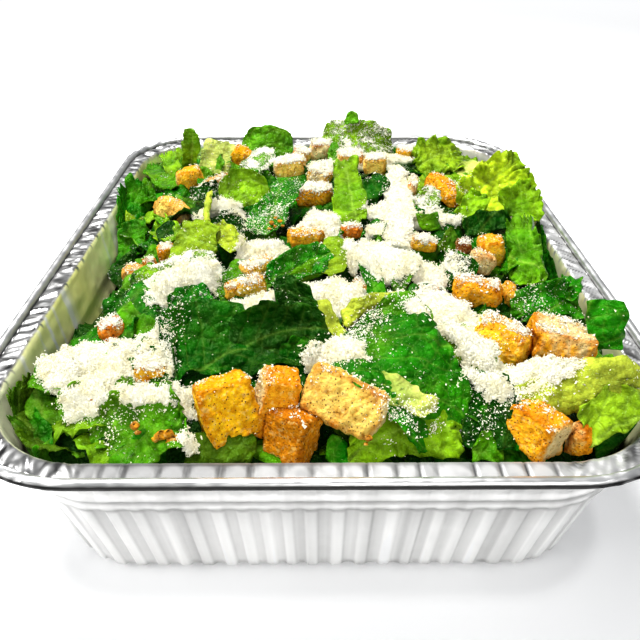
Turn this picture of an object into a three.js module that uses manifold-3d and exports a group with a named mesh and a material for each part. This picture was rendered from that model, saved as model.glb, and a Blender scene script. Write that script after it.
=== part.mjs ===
// Caesar salad in a half-size foil steam pan: chopped romaine heaped above the rim, toasted croutons
// and drifts of grated hard cheese. Millimetres, +Z up, origin under the middle of the pan's base,
// X across the pan and Y along it. The table edge of the pan that faces the diner is at -Y.
import * as THREE from 'three';
import { mergeVertices } from 'three/addons/utils/BufferGeometryUtils.js';
import Module from 'manifold-3d';

const wasm = await Module();
wasm.setup();

// ---------------------------------------------------------------- driving dimensions
const RIM_WIDTH = 264; // outside of the rolled rim, along X
const RIM_LENGTH = 324; // outside of the rolled rim, along Y
const PAN_HEIGHT = 80; // base to the top of the rolled rim
const BASE_WIDTH = 216;
const BASE_LENGTH = 276;
const BASE_CORNER = 32; // corner radius of the base
const FLANGE = 12; // width of the flat rim with its roll
const MOUTH_CORNER = 40; // corner radius where the wall meets the rim
const FOIL = 0.8; // wall, thickened from sheet foil so that it is a sound solid
const BEAD_RADIUS = 2; // roll round the edge of the rim
const RIM_UNDER = 76.4; // underside of the flat rim
const STEP_LOW = 49; // stacking step pressed into the wall
const STEP_HIGH = 56;
const RIB_DEPTH = 1.1; // flutes of the wall below the step
const GAP = 0.35; // clearance kept between pieces that touch
const LEAF = 1.5; // thickness of a dressed romaine leaf
const RIB_LEAF = 3.4; // thickness of a leaf's fleshy rib
const LOOSE = 9; // depth of the loose leaves over the packed middle of the heap
const MAX_HEAP = 90; // heap surface at the crown, before leaves that stand up
const FINEST = 0.15; // details of the heap smaller than this are smoothed away

const MOUTH_RISE = (RIM_WIDTH - 2 * FLANGE - BASE_WIDTH) / 2; // how far the wall leans out
const FLUTED = { long: 46, short: 32, corner: 11 }; // ring steps where the wall is fluted
const SMOOTH = { long: 5, short: 3, corner: 11 }; // ring steps where it is plain

// ---------------------------------------------------------------- colours
const paint = (color, roughness, metalness = 0) =>
  new THREE.MeshStandardMaterial({ color, roughness, metalness });
const foil = paint(0xd9dbde, 0.28, 1);
const lettuce = paint(0x4c8f22, 0.45);
const toast = paint(0xe0a13c, 0.8);

const salad = new THREE.Group();
salad.name = 'caesar_salad';

// ---------------------------------------------------------------- rings of the pan
// One ring is a rounded rectangle with its steps on each stretch: corners, then sides. A station
// says how far round a point is, from 0 to 8; flutes push every other point out and in, and pleats
// lift and lower every other point of a corner.
function ring({ halfX, halfY, radius, z, steps, flute = 0, pleat = 0 }) {
  const points = [];
  const corners = [[1, 1, 0], [-1, 1, 1], [-1, -1, 2], [1, -1, 3]];
  corners.forEach(([sx, sy, quarter], side) => {
    const cx = sx * (halfX - radius);
    const cy = sy * (halfY - radius);
    for (let i = 0; i < steps.corner; i += 1) {
      const angle = (quarter + i / steps.corner) * Math.PI / 2;
      points.push({
        x: cx + radius * Math.cos(angle),
        y: cy + radius * Math.sin(angle),
        angle,
        fold: i % 2 ? pleat : -pleat,
        station: 2 * side + i / steps.corner,
      });
    }
    const count = side % 2 ? steps.long : steps.short;
    const angle = (quarter + 1) * Math.PI / 2;
    const next = corners[(side + 1) % 4];
    const start = [cx + radius * Math.cos(angle), cy + radius * Math.sin(angle)];
    const end = [next[0] * (halfX - radius) + radius * Math.cos(angle),
      next[1] * (halfY - radius) + radius * Math.sin(angle)];
    for (let i = 0; i < count; i += 1) {
      const share = i / count;
      points.push({
        x: start[0] + (end[0] - start[0]) * share,
        y: start[1] + (end[1] - start[1]) * share,
        angle,
        fold: 0,
        station: 2 * side + 1 + share,
      });
    }
  });
  return points.map(({ x, y, angle, fold, station }, i) => {
    const out = flute * (i % 2 ? 1 : -1);
    return { at: [x + out * Math.cos(angle), y + out * Math.sin(angle), z + fold], station };
  });
}

// A level of the wall: how far out the leaning wall is at height z, moved outwards by `out`.
function level(z, out, extra = {}) {
  const lean = Math.min(z / RIM_UNDER, 1);
  return ring({
    halfX: BASE_WIDTH / 2 + MOUTH_RISE * lean + out,
    halfY: BASE_LENGTH / 2 + MOUTH_RISE * lean + out,
    radius: BASE_CORNER + (MOUTH_CORNER - BASE_CORNER) * lean + out,
    z, steps: SMOOTH, ...extra,
  });
}

// Joins a list of rings, from the middle of the underside round the rim to the middle of the floor.
function solidOfRings(rings, bottom, top) {
  const vertices = [bottom];
  const firsts = rings.map((one) => {
    const first = vertices.length;
    one.forEach((p) => vertices.push(p.at));
    return first;
  });
  vertices.push(top);
  const triangles = [];
  const last = rings.length - 1;
  rings[0].forEach((p, i) => triangles.push([0, firsts[0] + (i + 1) % rings[0].length, firsts[0] + i]));
  for (let k = 0; k < last; k += 1) band(rings[k], rings[k + 1], firsts[k], firsts[k + 1], triangles);
  rings[last].forEach((p, i) => {
    triangles.push([vertices.length - 1, firsts[last] + i, firsts[last] + (i + 1) % rings[last].length]);
  });
  return { vertices, triangles };
}

// A band between two rings, which may have different numbers of points.
function band(low, high, lowFirst, highFirst, triangles) {
  const turn = 8; // stations run from 0 to 8 round a ring
  const station = (one, i) => one[i % one.length].station + turn * Math.floor(i / one.length);
  let i = 0;
  let j = 0;
  while (i < low.length || j < high.length) {
    const a = lowFirst + i % low.length;
    const b = highFirst + j % high.length;
    const moveLow = j >= high.length || (i < low.length && station(low, i + 1) <= station(high, j + 1));
    if (moveLow) {
      triangles.push([a, lowFirst + (i + 1) % low.length, b]);
      i += 1;
    } else {
      triangles.push([a, highFirst + (j + 1) % high.length, b]);
      j += 1;
    }
  }
}

function foilPan() {
  const fluted = { steps: FLUTED, flute: RIB_DEPTH };
  const beadOut = FLANGE - BEAD_RADIUS;
  const beadMid = PAN_HEIGHT - BEAD_RADIUS;
  const foot = 4; // how far the flat of the base stays inside its rounded edge
  const footRise = 1.8; // height of the rounded edge
  const slope = 2; // height over which the stacking step runs out
  const step = 1.2; // how far the stacking step stands out
  const pleat = 0.5; // crimps of the rim at the corners
  const rimTop = RIM_UNDER + FOIL;
  const rings = [
    level(0, -foot),
    level(footRise, 0, fluted),
    level(STEP_LOW - slope, FOIL, fluted),
    level(STEP_LOW, FOIL + step),
    level(STEP_HIGH - slope, FOIL + step),
    level(STEP_HIGH, FOIL),
    level(RIM_UNDER, FOIL * 1.5),
    level(RIM_UNDER, beadOut - BEAD_RADIUS, { pleat }),
    level(RIM_UNDER - FOIL / 2, beadOut, { pleat: pleat / 2 }),
    level(beadMid, FLANGE),
    level(PAN_HEIGHT, beadOut),
    level(beadMid, beadOut - BEAD_RADIUS, { pleat: pleat / 2 }),
    level(rimTop, beadOut - BEAD_RADIUS - footRise, { pleat }),
    level(rimTop, FOIL),
    level(RIM_UNDER - FOIL, 0),
    level(STEP_HIGH, 0),
    level(STEP_HIGH - slope, step),
    level(STEP_LOW, step),
    level(STEP_LOW - slope, 0, fluted),
    level(footRise + FOIL, -FOIL, fluted),
    level(FOIL, -foot - FOIL / 2),
  ];
  return solidOfRings(rings, [0, 0, 0], [0, 0, FOIL]);
}

// ---------------------------------------------------------------- the space inside the pan
// Moves a point inwards until it is clear of the wall; above the rim the same lean carries on.
const WALL_CLEAR = RIB_DEPTH + 0.6;
function insidePan([x, y, z], margin = 0) {
  const lean = z / RIM_UNDER;
  const radius = BASE_CORNER + (MOUTH_CORNER - BASE_CORNER) * lean;
  const middleX = BASE_WIDTH / 2 + MOUTH_RISE * lean - WALL_CLEAR - margin - radius;
  const middleY = BASE_LENGTH / 2 + MOUTH_RISE * lean - WALL_CLEAR - margin - radius;
  const beyondX = Math.abs(x) - middleX;
  const beyondY = Math.abs(y) - middleY;
  const reach = Math.hypot(Math.max(beyondX, 0), Math.max(beyondY, 0));
  if (reach <= radius) return [x, y, z];
  const keep = radius / reach;
  return [
    beyondX > 0 ? Math.sign(x) * (middleX + beyondX * keep) : x,
    beyondY > 0 ? Math.sign(y) * (middleY + beyondY * keep) : y,
    z,
  ];
}

// How far a place in plan is from the wall at the mouth.
function wallDistance(x, y) {
  const radius = MOUTH_CORNER;
  const beyondX = Math.abs(x) - (BASE_WIDTH / 2 + MOUTH_RISE - radius);
  const beyondY = Math.abs(y) - (BASE_LENGTH / 2 + MOUTH_RISE - radius);
  const outside = Math.hypot(Math.max(beyondX, 0), Math.max(beyondY, 0));
  return radius - outside - Math.min(Math.max(beyondX, beyondY), 0);
}

// Height of the heap's surface: a crown that falls towards the wall, a trough that was served
// from along the left wall and a smaller hollow by the right one.
const EDGE_FALL = { depth: 20, reach: 24 };
const TROUGH = { x: -114, y: -18, halfWidth: 26, halfLength: 58, depth: 20 };
const HOLLOW = { x: 120, y: 12, halfWidth: 18, halfLength: 36, depth: 14 };
function heapTop(x, y) {
  const edge = EDGE_FALL.depth * Math.exp(-Math.max(wallDistance(x, y), 0) / EDGE_FALL.reach);
  const served = [TROUGH, HOLLOW].map((dip) => {
    const across = (x - dip.x) / dip.halfWidth;
    const along = (y - dip.y) / dip.halfLength;
    return dip.depth * Math.exp(-(across ** 2) - along ** 2);
  });
  return MAX_HEAP - edge - served[0] - served[1];
}

// ---------------------------------------------------------------- vectors and solids
const add = (a, b, k = 1) => a.map((value, i) => value + b[i] * k);
const dot = (a, b) => a[0] * b[0] + a[1] * b[1] + a[2] * b[2];
const cross = (a, b) => [
  a[1] * b[2] - a[2] * b[1],
  a[2] * b[0] - a[0] * b[2],
  a[0] * b[1] - a[1] * b[0],
];
const unit = (a) => a.map((value) => value / Math.hypot(...a));
const clamp = (value, low, high) => Math.min(Math.max(value, low), high);
// A repeatable draw between 0 and 1 for whole numbers k.
const draw = (k) => {
  const value = Math.sin(k * 12.9898 + 4.1414) * 43758.5453;
  return value - Math.floor(value);
};

function solid({ vertices, triangles }) {
  const mesh = new wasm.Mesh({
    numProp: 3,
    vertProperties: new Float32Array(vertices.flat()),
    triVerts: new Uint32Array(triangles.flat()),
  });
  return new wasm.Manifold(mesh);
}

function largest(one) {
  return one.decompose().reduce((best, piece) => (piece.volume() > best.volume() ? piece : best));
}

function meshOf(name, one, material) {
  const { vertProperties, triVerts, numProp } = one.getMesh();
  const positions = new Float32Array(vertProperties.length / numProp * 3);
  for (let i = 0; i < positions.length / 3; i += 1) {
    positions.set(vertProperties.slice(i * numProp, i * numProp + 3), i * 3);
  }
  const geometry = new THREE.BufferGeometry();
  geometry.setAttribute('position', new THREE.BufferAttribute(positions, 3));
  geometry.setIndex([...triVerts]);
  const mesh = new THREE.Mesh(geometry, material);
  mesh.name = name;
  salad.add(mesh);
}

// ---------------------------------------------------------------- leaves
// A sheet is a wavy patch along a bent midrib. It runs from `from` through `over` to `to`, is
// `width` across, and faces `face`. `cup` lifts its edges, `waves` ruffles run along them, and
// `round` turns its cut corners from square (0) to oval (1).
const FACET = 13; // longest side of a leaf's faces, roughly
const RAGGED = [0.07, 0.05]; // share by which three and five lobes change a leaf's outline
const RUFFLE = 0.16; // height of the edge's ruffles, as a share of half the width

function sheet(leaf, top, under) {
  const { from, over, to, width, face, cup, waves, round, seed } = leaf;
  const along = unit(add(to, from, -1));
  const normal = unit(add(face, along, -dot(face, along)));
  const across = cross(normal, along);
  const length = Math.hypot(...add(over, from, -1)) + Math.hypot(...add(to, over, -1));
  const rows = clamp(Math.max(Math.round(length / FACET), waves), 2, 5);
  const columns = clamp(Math.round(width / FACET), 1, 3);
  const lobes = (turn) => 1
    + RAGGED[0] * Math.sin(3 * turn + 9 * draw(seed))
    + RAGGED[1] * Math.sin(5 * turn + 9 * draw(seed + 7));
  const faces = [[], []];
  for (let i = 0; i <= rows; i += 1) {
    for (let j = 0; j <= columns; j += 1) {
      const t = 2 * i / rows - 1;
      const s = 2 * j / columns - 1;
      const a = t * Math.sqrt(1 - round * s * s / 2);
      const b = s * Math.sqrt(1 - round * t * t / 2);
      const u = (a + 1) / 2;
      const bend = [(1 - u) * (1 - 2 * u), 4 * u * (1 - u), u * (2 * u - 1)];
      const midrib = from.map((value, k) => value * bend[0] + over[k] * bend[1] + to[k] * bend[2]);
      const ripple = waves ? Math.sin(Math.PI * (waves * u * 2 + b + 2 * draw(seed + 3))) : 0;
      const lift = width / 2 * b * b * (cup + RUFFLE * ripple);
      const reach = b * lobes(Math.atan2(b, a)) * width / 2;
      const middle = insidePan(add(add(midrib, across, reach), normal, lift), under(1));
      const edge = Math.max(Math.abs(t), Math.abs(s));
      faces[0].push(add(middle, normal, top(edge)));
      faces[1].push(add(middle, normal, -under(edge)));
    }
  }
  return solid(plate(faces, rows, columns));
}

// Closes two like grids of points, both split the same way, with a strip round their edge.
function plate([upper, lower], rows, columns) {
  const vertices = [...upper, ...lower];
  const triangles = [];
  const at = (i, j) => i * (columns + 1) + j;
  const under = (k) => upper.length + k;
  for (let i = 0; i < rows; i += 1) {
    for (let j = 0; j < columns; j += 1) {
      const [a, b, c, d] = [at(i, j), at(i + 1, j), at(i + 1, j + 1), at(i, j + 1)];
      triangles.push([a, b, c], [a, c, d]);
      triangles.push([under(a), under(c), under(b)], [under(a), under(d), under(c)]);
    }
  }
  const border = [];
  for (let j = 0; j < columns; j += 1) border.push(at(0, j));
  for (let i = 0; i < rows; i += 1) border.push(at(i, columns));
  for (let j = columns; j > 0; j -= 1) border.push(at(rows, j));
  for (let i = rows; i > 0; i -= 1) border.push(at(i, 0));
  border.forEach((a, k) => {
    const b = border[(k + 1) % border.length];
    triangles.push([a, b, under(b)], [a, under(b), under(a)]);
  });
  return { vertices, triangles };
}

const leafSolid = (leaf, thick = LEAF) => sheet(leaf, () => thick / 2, () => thick / 2);
// A drift of grated cheese: a low pillow that thins to its edge and faces up and to the diner.
const DRIFT = { rim: 0.5, crown: 2.5, depth: 2, face: [0, -3, 9], cup: 0.1, waves: 0, round: 0.8 };
const driftSolid = (row) => sheet(
  { ...DRIFT, ...row },
  (edge) => DRIFT.rim + DRIFT.crown * (1 - edge ** 2),
  () => DRIFT.depth,
);

// Each leaf: its midrib's start, middle and end, its width, the way it faces, how much it is
// cupped, how many ruffles it has, and how round its cut corners are.
const ROMAINE = {
  front_sill: [[-48, -140, 70], [-35, -141, 74], [-23, -140, 71], 13, [0, -6, 8], 0.1, 1, 0.3],
  front_crinkle: [[-81, -137, 67], [-65, -132, 76], [-46, -134, 80], 28, [-1, -5, 8], 0.1, 2, 0.5],
  corner_blade: [[-122, -94, 68], [-111, -114, 64], [-86, -137, 66], 30, [5, -2, 8], 0.2, 3, 0.6],
  corner_crest: [[-114, -103, 72], [-105, -104, 75], [-92, -111, 76], 15, [2, -4, 8], 0.2, 3, 0.6],
  corner_tongue: [[-92, -129, 70], [-83, -127, 73], [-74, -123, 77], 26, [1, -5, 8], 0.2, 2, 0.6],
  slate_sheet: [[-58, -107, 81], [-51, -97, 87], [-25, -96, 84], 31, [-1, -6, 8], 0.2, 1, 0.2],
  slate_curl: [[-52, -118, 76], [-56, -108, 80], [-58, -96, 88], 12, [-8, -5, 3], 0.2, 1, 0.3],
  folded_blade: [[-38, -99, 82], [-20, -91, 88], [3, -93, 90], 32, [0, -6, 8], 0.3, 1, 0.3],
  folded_crest: [[-18, -87, 92], [-15, -80, 95], [-2, -84, 93], 14, [0, -7, 6], 0.1, 1, 0.5],
  folded_rib: [[-2, -80, 93], [3, -91, 89], [9, -98, 83], 8, [2, -6, 7], 0.1, 0, 0.4],
  curly_tuft: [[-12, -110, 77], [-10, -103, 83], [-4, -97, 88], 17, [-3, -7, 6], 0.2, 4, 0.6],
  arch_rib: [[8, -91, 88], [17, -83, 93], [33, -81, 94], 7, [0, -7, 7], 0.2, 0, 0.4],
  broad_leaf: [[9, -98, 88], [34, -112, 93], [49, -131, 72], 50, [1, -5, 8], 0.15, 2, 0.5],
  broad_lobe: [[40, -101, 92], [52, -107, 90], [63, -113, 88], 14, [2, -6, 8], 0.1, 2, 0.7],
  broad_crest: [[20, -87, 92], [32, -86, 94], [42, -96, 92], 12, [0, -6, 8], 0.1, 1, 0.6],
  front_ribbed: [[9, -141, 71], [28, -136, 77], [49, -137, 73], 19, [0, -6, 8], -0.2, 2, 0.4],
  front_scrap: [[0, -140, 71], [4, -141, 72], [9, -141, 70], 9, [0, -6, 8], 0.1, 1, 0.6],
  shade_blade: [[56, -118, 88], [57, -127, 80], [53, -139, 71], 22, [-3, -8, 5], 0.2, 2, 0.4],
  shade_side: [[62, -127, 82], [66, -134, 77], [65, -141, 71], 16, [-3, -8, 5], 0.1, 1, 0.4],
  shade_tuft: [[50, -141, 71], [56, -140, 73], [61, -141, 70], 10, [0, -7, 7], 0.2, 3, 0.7],
  great_rib: [[65, -130, 79], [87, -127, 87], [110, -127, 93], 14, [-1, -7, 7], -0.2, 0, 0.3],
  great_blade: [[87, -138, 79], [98, -135, 84], [110, -136, 86], 16, [-2, -6, 7], 0.3, 3, 0.4],
  under_rib: [[92, -140, 71], [101, -137, 75], [112, -135, 76], 18, [-2, -7, 7], 0.2, 1, 0.4],
  side_blade: [[104, -110, 84], [105, -106, 94], [104, -99, 104], 17, [-4, -9, 3], 0.1, 2, 0.3],
  side_frill: [[80, -71, 82], [96, -68, 84], [111, -68, 82], 17, [-1, -6, 8], 0.2, 4, 0.5],
  side_lobe: [[102, -68, 83], [107, -62, 86], [111, -53, 89], 10, [-2, -7, 6], 0.2, 4, 0.6],
  ruffle_upright: [[98, -51, 78], [101, -28, 84], [105, 0, 89], 22, [-3, -7, 6], 0.2, 4, 0.5],
  ruffle_inner: [[88, -40, 80], [94, -24, 82], [100, -8, 84], 10, [-6, -6, 4], 0.1, 2, 0.5],
  fan_blade: [[80, 22, 82], [97, 38, 89], [114, 40, 103], 32, [-1, -7, 6], 0.2, 4, 0.5],
  fan_lobe: [[100, 15, 84], [109, 19, 88], [119, 29, 92], 24, [-2, -7, 6], 0.2, 4, 0.6],
  fan_foot: [[76, 10, 83], [82, 19, 87], [90, 28, 90], 14, [-2, -7, 6], 0.2, 3, 0.6],
  wall_leaf: [[114, -32, 62], [119, -3, 66], [118, 20, 72], 24, [-8, -3, 5], 0.2, 2, 0.4],
  back_ruffle: [[62, 90, 82], [78, 99, 85], [97, 107, 82], 28, [0, -6, 8], 0.2, 4, 0.6],
  back_tip: [[66, 104, 86], [66, 104, 92], [67, 104, 98], 6, [0, -9, 4], 0.1, 0, 0.7],
  back_flat: [[85, 91, 80], [95, 88, 80], [102, 68, 80], 18, [0, -5, 8], 0.1, 1, 0.4],
  back_hood: [[1, 130, 83], [22, 118, 92], [50, 125, 84], 25, [0, -8, 6], 0.2, 2, 0.5],
  back_knob: [[17, 121, 102], [21, 123, 104], [26, 122, 102], 8, [0, -8, 6], 0.3, 1, 0.8],
  back_notch: [[8, 92, 84], [9, 101, 87], [10, 112, 90], 8, [0, -8, 5], 0.2, 1, 0.7],
  back_arch: [[-53, 119, 84], [-36, 116, 92], [-18, 119, 84], 18, [0, -7, 7], 0.2, 1, 0.4],
  back_cheesed: [[-46, 63, 84], [-40, 78, 88], [-34, 101, 90], 16, [-1, -7, 7], 0.1, 2, 0.5],
  spear: [[-85, 93, 77], [-81, 93, 93], [-79, 93, 107], 12, [-1, -9, 4], 0.3, 0, 0.6],
  spear_fan: [[-87, 82, 76], [-97, 99, 80], [-105, 119, 82], 11, [2, -8, 5], 0.2, 1, 0.5],
  pale_flat: [[-68, 85, 80], [-66, 97, 86], [-65, 109, 93], 20, [0, -8, 6], 0.1, 1, 0.3],
  back_left_leaf: [[-117, 116, 72], [-102, 88, 75], [-90, 64, 77], 16, [3, -6, 7], 0.2, 2, 0.6],
  wall_ruffle: [[-105, 76, 72], [-114, 55, 68], [-118, 30, 62], 34, [5, -4, 7], 0.2, 3, 0.5],
  wall_low: [[-96, 19, 68], [-112, 23, 62], [-130, 27, 56], 26, [5, -5, 7], 0.2, 3, 0.5],
  wall_lace: [[-92, 27, 74], [-83, 13, 76], [-73, -4, 80], 14, [-1, -6, 7], 0.2, 3, 0.6],
  flat_face: [[-63, -33, 83], [-60, -23, 88], [-58, -12, 94], 21, [-2, -9, 4], 0.1, 1, 0.3],
  strand: [[-56, -14, 92], [-58, 0, 95], [-58, 15, 98], 4, [-2, -9, 4], 0.1, 0, 0.5],
  yellow_wing: [[-54, -12, 91], [-46, -21, 90], [-38, -28, 88], 13, [2, -7, 6], 0.1, 2, 0.6],
  shell_leaf: [[-54, 20, 88], [-43, 30, 94], [-27, 26, 89], 22, [0, -7, 7], 0.4, 0, 0.6],
  gap_leaf_a: [[-55, 9, 84], [-47, 6, 83], [-39, -1, 83], 14, [1, -7, 6], 0.2, 1, 0.4],
  gap_leaf_b: [[-48, -28, 80], [-41, -23, 80], [-31, -18, 82], 20, [1, -7, 6], 0.2, 1, 0.4],
  speckled_leaf: [[-31, -7, 84], [-23, 11, 90], [-15, 36, 95], 21, [-3, -7, 6], 0.2, 2, 0.5],
  small_tuft: [[-74, 38, 86], [-65, 39, 88], [-57, 43, 90], 10, [0, -7, 7], 0.2, 3, 0.6],
  centre_blade: [[16, 2, 86], [15, 22, 93], [14, 47, 103], 18, [-1, -8, 5], 0.2, 1, 0.4],
  centre_side: [[24, 30, 88], [30, 38, 91], [37, 44, 94], 12, [-2, -7, 6], 0.2, 1, 0.5],
  tent_face: [[5, -51, 86], [6, -42, 91], [8, -31, 96], 14, [-3, -8, 5], 0.1, 0, 0.4],
  tent_strap: [[13, -36, 94], [20, -48, 90], [24, -66, 84], 10, [4, -7, 6], 0.1, 1, 0.4],
  boat_leaf: [[-24, -52, 85], [-11, -45, 90], [4, -36, 94], 18, [0, -7, 7], 0.3, 1, 0.5],
  boat_under: [[-16, -53, 84], [-7, -49, 87], [2, -42, 89], 9, [0, -8, 4], 0.1, 1, 0.5],
  cheesed_fold: [[-79, -60, 79], [-64, -51, 87], [-47, -45, 91], 24, [-1, -6, 8], -0.2, 1, 0.4],
  crumbled_end: [[-48, -61, 80], [-49, -51, 84], [-50, -40, 87], 10, [5, -7, 5], 0.1, 2, 0.5],
  left_dark: [[-100, -43, 68], [-90, -48, 73], [-79, -63, 76], 22, [1, -5, 8], 0.2, 2, 0.5],
  left_tucked: [[-85, -71, 80], [-77, -78, 78], [-69, -85, 76], 12, [-2, -5, 8], 0.1, 2, 0.5],
  left_crest: [[-64, -75, 82], [-55, -72, 86], [-44, -72, 88], 16, [-1, -6, 8], 0.2, 2, 0.5],
  mid_sliver: [[33, -58, 84], [38, -50, 88], [43, -41, 91], 8, [-3, -7, 6], 0.1, 2, 0.5],
  mid_square: [[51, 2, 86], [57, 3, 87], [62, 5, 87], 9, [0, -9, 4], 0.1, 0, 0.2],
  mid_cup: [[53, 15, 88], [58, 21, 91], [64, 27, 93], 12, [-1, -7, 7], 0.3, 1, 0.5],
  mid_shade: [[57, -34, 83], [62, -39, 84], [68, -44, 84], 14, [1, -7, 7], 0.2, 1, 0.5],
  mid_olive: [[58, -24, 83], [63, -19, 85], [69, -13, 87], 12, [0, -8, 5], 0.1, 0, 0.3],
  right_shade: [[74, 3, 82], [87, 8, 84], [102, 10, 83], 12, [0, -7, 7], 0.2, 2, 0.5],
};
const FLESHY = { folded_rib: 0.5, arch_rib: 0.5, great_rib: 1, strand: 0.3 }; // share of RIB_LEAF added

// Each drift of grated cheese: where it starts, passes and ends, and its width.
const DRIFTS = {
  snow_left: [[-110, -95, 75], [-82, -102, 80], [-54, -101, 85], 34],
  snow_left_tail: [[-91, -106, 78], [-86, -118, 76], [-83, -125, 74], 18],
  snow_left_head: [[-62, -85, 87], [-68, -95, 84], [-76, -106, 82], 16],
  snow_fold: [[-75, -63, 82], [-62, -54, 88], [-45, -51, 91], 16],
  snow_mid_left: [[-42, -73, 87], [-23, -71, 89], [2, -71, 92], 14],
  snow_centre: [[-15, -71, 91], [6, -69, 93], [18, -77, 91], 22],
  snow_plateau: [[12, -34, 93], [28, -42, 93], [42, -46, 91], 28],
  snow_ridge: [[48, 78, 93], [43, 23, 93], [37, -25, 93], 16],
  snow_right: [[31, -68, 89], [52, -83, 93], [77, -100, 93], 26],
  snow_low_right: [[57, -120, 87], [72, -124, 87], [92, -117, 91], 12],
  snow_front_mid: [[-7, -104, 84], [5, -108, 87], [14, -117, 87], 14],
  snow_back_left: [[-68, 14, 86], [-57, 18, 88], [-40, 10, 88], 12],
  snow_centre_left: [[-40, -29, 88], [-28, -25, 91], [-14, -32, 92], 12],
  snow_centre_back: [[-11, -1, 92], [-1, -2, 94], [10, -16, 93], 18],
  snow_back: [[-27, 81, 92], [6, 87, 95], [41, 98, 96], 12],
  snow_speckled: [[39, -51, 87], [48, -48, 90], [56, -53, 88], 14],
};

// ---------------------------------------------------------------- croutons
// Each crouton: the middle, the size, and its turns about Z, X and Y in degrees.
const CROUTONS = {
  front_a: [[-34, -130, 81], [19, 17, 25], [12, -12, 8]],
  front_b: [[-17, -127, 82], [13, 16, 23], [-14, -8, 12]],
  front_c: [[-11, -136, 74], [18, 13, 18], [8, -10, 12]],
  front_d: [[7, -129, 84], [30, 15, 19], [-4, -38, 22]],
  front_e: [[73, -138, 77], [19, 14, 12], [-24, -6, 4]],
  front_f: [[87, -139, 75], [10, 9, 11], [-30, 0, -20]],
  right_a: [[70, -95, 84], [23, 18, 15], [-32, -14, 10]],
  right_b: [[92, -97, 84], [25, 19, 17], [-16, -12, 8]],
  right_c: [[68, -60, 84], [21, 14, 13], [-10, -12, 0]],
  right_d: [[81, -60, 83], [9, 13, 10], [-16, 0, 10]],
  right_e: [[84, -20, 82], [14, 13, 16], [-12, 0, -6]],
  right_f: [[77, -31, 82], [12, 11, 11], [8, -10, 14]],
  right_g: [[70, -20, 83], [8, 9, 12], [4, 0, 6]],
  right_h: [[74, 49, 84], [29, 11, 12], [-50, -14, 14]],
  back_a: [[57, 105, 86], [12, 11, 9], [10, 0, 0]],
  back_b: [[35, 85, 85], [14, 13, 15], [-8, -6, -6]],
  back_c: [[19, 95, 85], [17, 14, 13], [6, 0, 4]],
  back_d: [[-19, 82, 85], [20, 15, 14], [10, -8, -6]],
  back_e: [[-12, 102, 86], [12, 10, 9], [-12, 0, 8]],
  back_f: [[1, 116, 85], [16, 13, 12], [4, 0, 0]],
  back_g: [[0, 67, 85], [14, 12, 11], [-20, -8, 10]],
  mid_a: [[15, -10, 88], [11, 10, 8], [14, -10, 0]],
  mid_b: [[51, -19, 86], [13, 10, 8], [-12, -10, 8]],
  mid_c: [[54, 51, 86], [6, 19, 9], [-10, 0, 8]],
  mid_e: [[46, -62, 86], [10, 8, 6], [-8, 0, 0]],
  mid_f: [[17, -58, 84], [7, 9, 9], [16, 0, 16]],
  mid_g: [[-4, 41, 85], [21, 18, 12], [4, -10, 0]],
  mid_h: [[-8, -17, 87], [17, 12, 11], [12, -8, 4]],
  mid_i: [[-28, -38, 83], [21, 11, 11], [38, -10, 0]],
  mid_j: [[-35, -53, 81], [20, 10, 10], [14, -8, -8]],
  left_a: [[-84, 35, 78], [23, 13, 13], [-38, -10, 12]],
  left_b: [[-82, 79, 79], [17, 14, 14], [16, -8, -8]],
  left_c: [[-53, 101, 83], [13, 13, 18], [-10, 0, 32]],
  left_d: [[-66, 66, 80], [27, 8, 9], [48, 0, -10]],
  left_e: [[-76, -18, 78], [10, 11, 15], [12, 0, -14]],
  left_f: [[-93, -24, 72], [12, 10, 9], [-10, 0, 0]],
  left_g: [[-85, -22, 74], [8, 9, 12], [10, 0, -14]],
  left_h: [[-77, -38, 76], [11, 9, 8], [24, 0, 0]],
  left_i: [[-88, -78, 76], [11, 11, 12], [18, -8, -14]],
  left_j: [[-65, -105, 77], [13, 12, 13], [-6, -8, 4]],
};

// The turn of a crouton: about Z first, then X, then Y.
function turnOf([turnZ, turnX, turnY]) {
  const radians = Math.PI / 180;
  return new THREE.Euler(turnX * radians, turnY * radians, turnZ * radians, 'ZXY');
}

// A toasted cube of bread: a box of three points to each edge, with its edges and corners pulled
// in, a slight taper and a little unevenness at every point.
const CRUST = { swell: 1.03, pull: 0.085, taper: 0.16, uneven: 0.13 };
const STEPS = [-1, 0, 1];
const SIDES = [ // which way is out of a side, and its two directions, ordered so that it faces out
  [[1, 0, 0], [0, 1, 0], [0, 0, 1]],
  [[0, 1, 0], [0, 0, 1], [1, 0, 0]],
  [[0, 0, 1], [1, 0, 0], [0, 1, 0]],
];

function croutonPoint([middle, size, turns], seed, [i, j, k]) {
  const outer = Math.abs(i) + Math.abs(j) + Math.abs(k);
  const pull = CRUST.swell - CRUST.pull * (outer - 1);
  const taper = 1 + CRUST.taper * (draw(seed) - 0.5) * k;
  const spot = seed * 31 + (i + 1) * 9 + (j + 1) * 3 + k + 1;
  const uneven = (axis) => 1 + CRUST.uneven * (draw(spot + axis * 57) - 0.5);
  const local = new THREE.Vector3(
    i * (size[0] / 2) * pull * taper * uneven(0),
    j * (size[1] / 2) * pull * taper * uneven(1),
    k * (size[2] / 2) * pull * uneven(2),
  ).applyEuler(turnOf(turns));
  return insidePan(add(middle, local.toArray()));
}

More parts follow.
